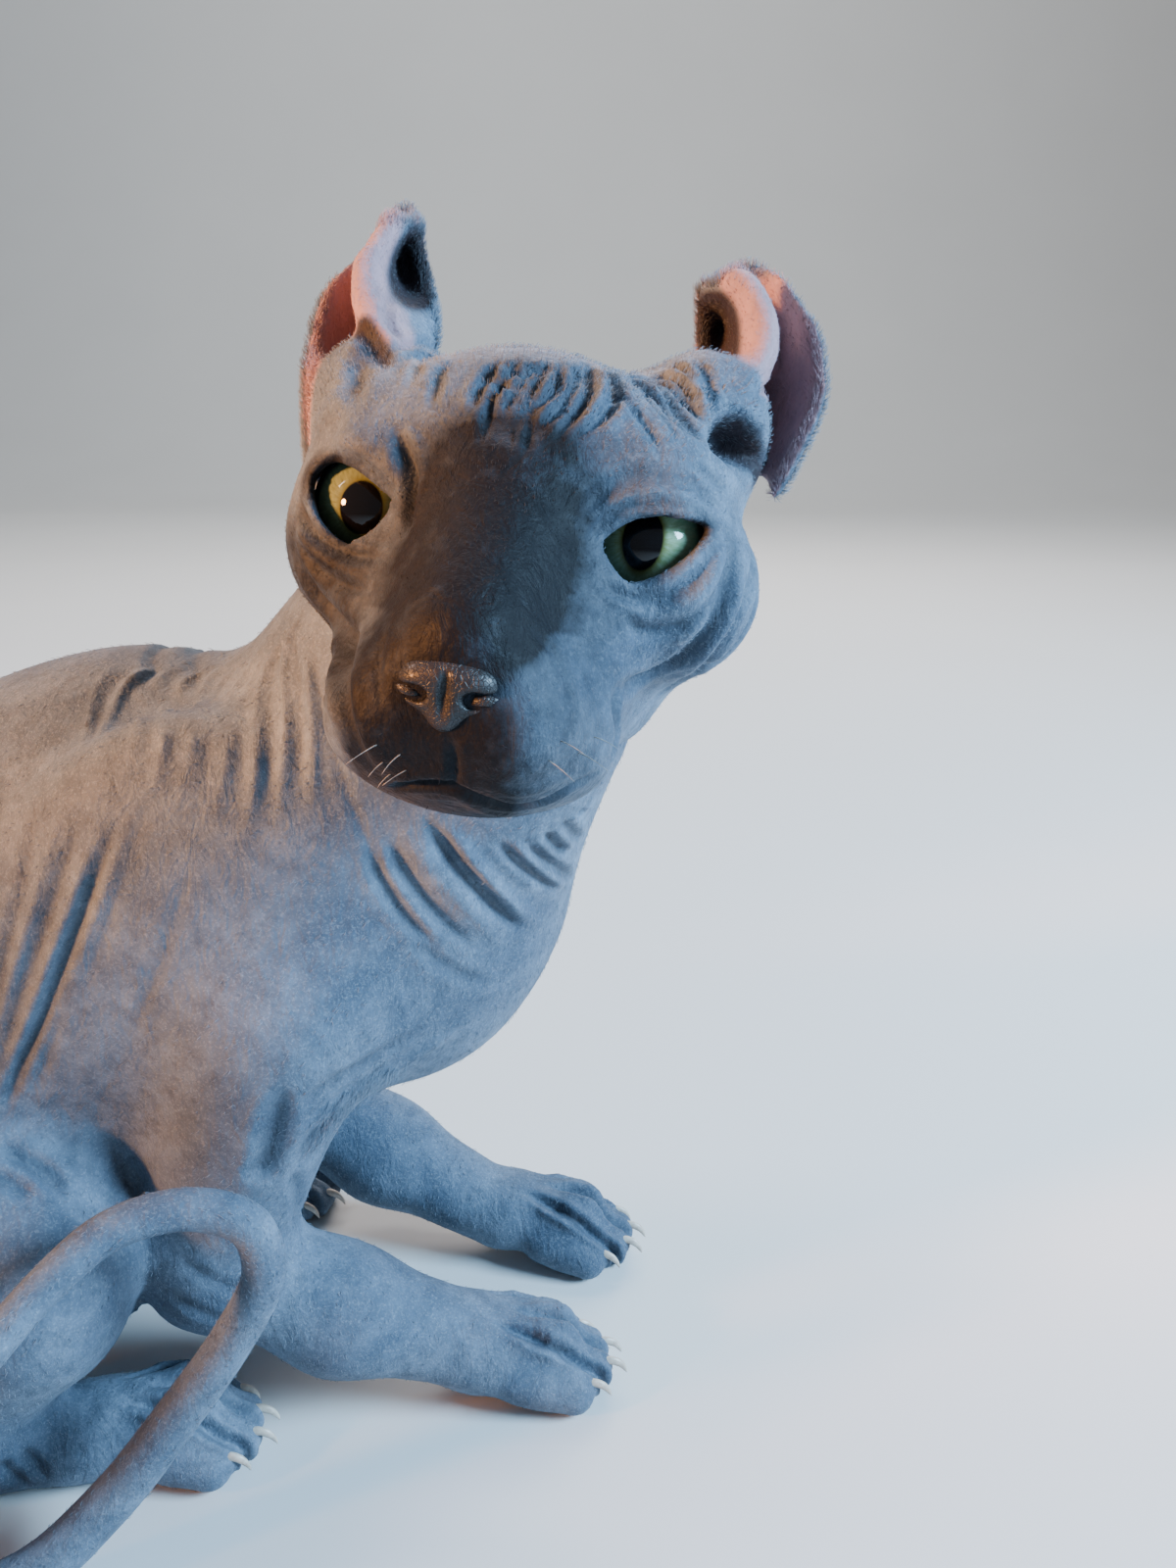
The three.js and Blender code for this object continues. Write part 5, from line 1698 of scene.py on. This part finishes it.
def scattered(density, count, rng):
    """Places on the skin at random, as dense as asked: the corners of each one's face, and how
    much each corner counts there."""
    a, b, c = (skin.points[skin_corners[:, n]] for n in range(3))
    areas = length(np.cross(b - a, c - a)) / 2
    weights = np.cumsum(areas * density[skin_corners].mean(1))
    faces = np.searchsorted(weights, rng.random(count) * weights[-1])
    first, second = rng.random(count), rng.random(count)
    flip = first + second > 1
    first[flip], second[flip] = 1 - first[flip], 1 - second[flip]
    return skin_corners[faces], np.stack((1 - first - second, first, second), 1)


def tuft_points(roots, normals, ways, sizes, tilt, thick, sway):
    """The points of each tuft: a ring under the skin, a ring halfway, and the tip."""
    aside = np.cross(normals, ways)
    rise = np.sin(tilt)[:, None] * normals
    heading = np.cos(tilt)[:, None] * ways + rise
    middle = roots + heading * (sizes * 0.5)[:, None] + normals * (sizes * 0.06)[:, None]
    tips = roots + heading * sizes[:, None] - rise * (sizes * 0.25)[:, None]
    tips += aside * (sizes * sway)[:, None]
    rings = []
    for base, wide in ((roots - normals * 0.15, thick), (middle, thick * 0.7)):
        for angle in tuft_angles:
            rings.append(base + (aside * math.cos(angle) + normals * math.sin(angle)) * wide)
    return np.stack(rings + [tips], 1).reshape(-1, 3)


def tuft_faces(count):
    pattern = [(0, 2, 1)]
    for n in range(TUFT_SIDES):
        m = (n + 1) % TUFT_SIDES
        pattern += [(n, m, 3 + m), (n, 3 + m, 3 + n), (3 + n, 3 + m, 6)]
    return (np.arange(count)[:, None, None] * TUFT_POINTS + np.array(pattern)).reshape(-1, 3)


def tuft_maps(roots):
    flat = np.array([(math.cos(angle) * size, math.sin(angle) * size)
                     for size in TUFT_PATCH for angle in tuft_angles] + [(0, 0)])
    return (map_places(unwrapped, roots)[:, None] + flat).reshape(-1, 2)


def triangle_piece(name, points, corners):
    """A piece of triangles, from points in the cat's frame."""
    data = bpy.data.meshes.new(name)
    data.vertices.add(len(points))
    put_points(data, points)
    data.loops.add(corners.size)
    data.loops.foreach_set("vertex_index", corners.ravel())
    data.polygons.add(len(corners))
    data.polygons.foreach_set("loop_start", np.arange(len(corners)) * 3)
    data.update(calc_edges=True)
    shade_smooth(data)
    return placed(name, data)


def grow_down(name, density, count, reach, raised, seed, radius):
    """Tufts over the skin: how densely, how many, how long, how steep, and how thick."""
    rng = np.random.default_rng(seed)
    chosen, share = scattered(density, count, rng)

    def at(values):
        return np.einsum("ij,ij...->i...", share, values[chosen])
    roots = at(skin.points)
    normals = unit(at(slopes))
    ways = at(lie) + rng.normal(0, 0.22, (count, 3))
    ways = unit(ways - normals * np.einsum("ij,ij->i", ways, normals)[:, None])
    sizes = at(reach) * rng.uniform(0.6, 1.25, count)
    tilt = at(raised) * rng.uniform(0.6, 1.4, count)
    thick = (radius * rng.uniform(0.7, 1.2, count))[:, None]
    sway = rng.normal(0, 0.12, count)
    corners = tuft_faces(count)
    points = tuft_points(roots, normals, ways, sizes, tilt, thick, sway)
    piece = triangle_piece(name, points, corners)
    for key, values in marks_and_shade.items():
        put_attribute(piece, key, np.repeat(at(values), TUFT_POINTS))
    layer = piece.data.uv_layers.new(name="OFBake")
    layer.data.foreach_set("uv", tuft_maps(roots)[corners.ravel()].ravel())
    piece.data.materials.append(down_material)
    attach(piece, "root")


skin_corners = corner_points(skin_piece.data).reshape(-1, 3)
unwrapped = flat_map()
tuft_angles = [2 * math.pi * n / TUFT_SIDES for n in range(TUFT_SIDES)]
down_material = down_finish()
local = in_head(skin.points)
head_off = np.linalg.norm(local - (0, 5, 5), axis=1)
on_head_part = smooth(64, 54, head_off) * (1 - on_ear)
x, y, z = skin.points.T
tail_off, tail_along = to_line(skin.points, tail_line, 22)
on_tail = smooth(14, 11, tail_off)
leg_part = smooth(70, 40, z) * (1 - on_tail)
ear_rim = np.maximum(smooth(0.07, 0.02, ear_across), smooth(0.86, 0.95, ear_along))
ear_rim = on_ear * np.maximum(ear_rim, band(ear_across, 0.40, 0.48, 0.03))

lie = np.tile((-1.0, 0.0, -0.55), (len(skin.points), 1))
from_nose = (local - NOSE_TIP) * (1.3, 1.0, 1.0) @ head_turn.T
lie = np.where(on_head_part[:, None] > 0.5, unit(from_nose), lie)
ear_up = (np.array((0, 0.1, 1.0)) @ head_turn.T)[None]
lie = np.where(on_ear[:, None] > 0.5, ear_up, lie)
tail_ways = along_line(tail_along, tail_line, unit(np.gradient(tail_line, axis=0)))
lie = np.where(on_tail[:, None] > 0.5, tail_ways, lie)
lie = np.where(leg_part[:, None] > 0.5, (0.25, 0, -1.0), lie)

open_eye = np.ones(len(skin.points))
for side in SIDES.values():
    open_eye *= smooth(13.2, 16, np.linalg.norm(skin.points - eye_center(side), axis=1))
nose_off = np.linalg.norm(local - NOSE_TIP, axis=1)
open_eye *= smooth(9, 12, nose_off)
above_floor = smooth(0.6, 3, z)

crown = smooth(8, 24, local[:, 2]) * on_head_part
muzzle = smooth(34, 20, np.linalg.norm(local - (0, -26, -26), axis=1))
ear_reach = 0.7 + 1.1 * ear_rim + 0.5 * smooth(0.6, 0.95, ear_along)
head_reach = 0.9 + 0.6 * crown - 0.3 * muzzle
wisp = np.zeros(len(skin.points))
found = seen_line(tree, [(330, 1148), (346, 1132), (366, 1114), (392, 1096)])
if found is not None:
    for flip in (1, -1):
        off, _ = to_line(skin.points, found[0] * (1, flip, 1), 14)
        wisp = np.maximum(wisp, smooth(7, 2, off))
body_reach = 1.5 - 0.6 * smooth(24, 10, z) + 4.5 * wisp
grow_down("down_ears", on_ear * (0.25 + 1.8 * ear_rim), 15000, ear_reach,
          0.4 + 0.4 * ear_rim, 11, 0.065)
grow_down("down_head", on_head_part * open_eye * (0.5 + 0.5 * crown - 0.2 * muzzle), 14000,
          head_reach, 0.25 + 0.25 * crown, 12, 0.07)
on_body = (1 - on_ear) * (1 - on_head_part) * above_floor
grow_down("down_body", on_body * (0.6 + 5 * wisp + 0.5 * on_tail), 19500, body_reach,
          0.3 + 0.25 * wisp, 13, 0.085)

# Camera, floor and lights

camera_data = bpy.data.cameras.new("camera")
camera_data.sensor_width = 36
camera_data.lens = 36 * FOCAL_PIXELS / PHOTO_HEIGHT
camera_data.clip_start = 0.01
camera = placed("camera", camera_data)
camera.location = metres(CAMERA_PLACE)
camera.rotation_euler = (math.pi / 2 - CAMERA_TILT, 0, 0)
bpy.context.scene.camera = camera

FLOOR_FRONT = -4.0
FLOOR_BACK = 2.6
SWEEP_RADIUS = 1.6
WALL_TOP = 4.5
FLOOR_HALF = 6.0


def backdrop():
    """The floor, which sweeps up into a wall far behind the cat."""
    profile = [(FLOOR_FRONT, 0.0)]
    for n in range(25):
        angle = math.pi / 2 * n / 24
        profile.append((FLOOR_BACK + SWEEP_RADIUS * math.sin(angle),
                        SWEEP_RADIUS * (1 - math.cos(angle))))
    profile.append((FLOOR_BACK + SWEEP_RADIUS, WALL_TOP))
    data = bpy.data.meshes.new("floor")
    points = [(x, y, z) for y, z in profile for x in (-FLOOR_HALF, FLOOR_HALF)]
    faces = [(2 * n, 2 * n + 1, 2 * n + 3, 2 * n + 2) for n in range(len(profile) - 1)]
    data.from_pydata(points, [], faces)
    shade_smooth(data)
    return placed("floor", data)


def floor_finish():
    finish = Finish("pale_floor")
    clouds = finish.level(finish.noise(3, 2), 0.3, 0.7)
    finish.set("Base Color", finish.mix(clouds, (0.71, 0.70, 0.68), (0.73, 0.72, 0.70)))
    finish.set("Roughness", 0.8)
    return finish.material


floor = backdrop()
floor.data.materials.append(floor_finish())


def light(name, kind, place, aim, power, color, **settings):
    data = bpy.data.lights.new(name, kind)
    data.energy = power
    data.color = color
    for key, value in settings.items():
        setattr(data, key, value)
    lamp = placed(name, data)
    lamp.location = Vector(place)
    lamp.rotation_euler = (Vector(aim) - Vector(place)).to_track_quat("-Z", "Y").to_euler()


light("window", "AREA", (1.15, -0.33, 0.72), (0, 0, 0.14), 56, (0.42, 0.7, 1.0), size=0.45)
light("warm_lamp", "SPOT", (-0.82, -0.45, 0.52), (0.05, -0.04, 0.21), 260, (1.0, 0.4, 0.13),
      shadow_soft_size=0.1, spot_size=math.radians(19), spot_blend=1.0)
light("ceiling", "AREA", (-0.75, 0.12, 0.95), (0, 0, 0.18), 6.5, (1.0, 0.78, 0.7), size=0.3)
light("back", "AREA", (0.3, 1.4, 1.3), (0, 0, 0.1), 20, (1, 0.9, 0.86), size=0.9)
light("wall", "AREA", (0.0, 1.2, 2.4), (0, 3.6, 0.6), 60, (1, 0.99, 0.97), size=1.6)
world = bpy.data.worlds.new("studio")
bpy.context.scene.world = world
world.use_nodes = True
sky = world.node_tree.nodes["Background"].inputs
sky["Color"].default_value = (0.8, 0.88, 1.0, 1)
sky["Strength"].default_value = 0.22

for node in FLESH + ["ear_left", "ear_right"]:
    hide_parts(node)
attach(skin_piece, "root")
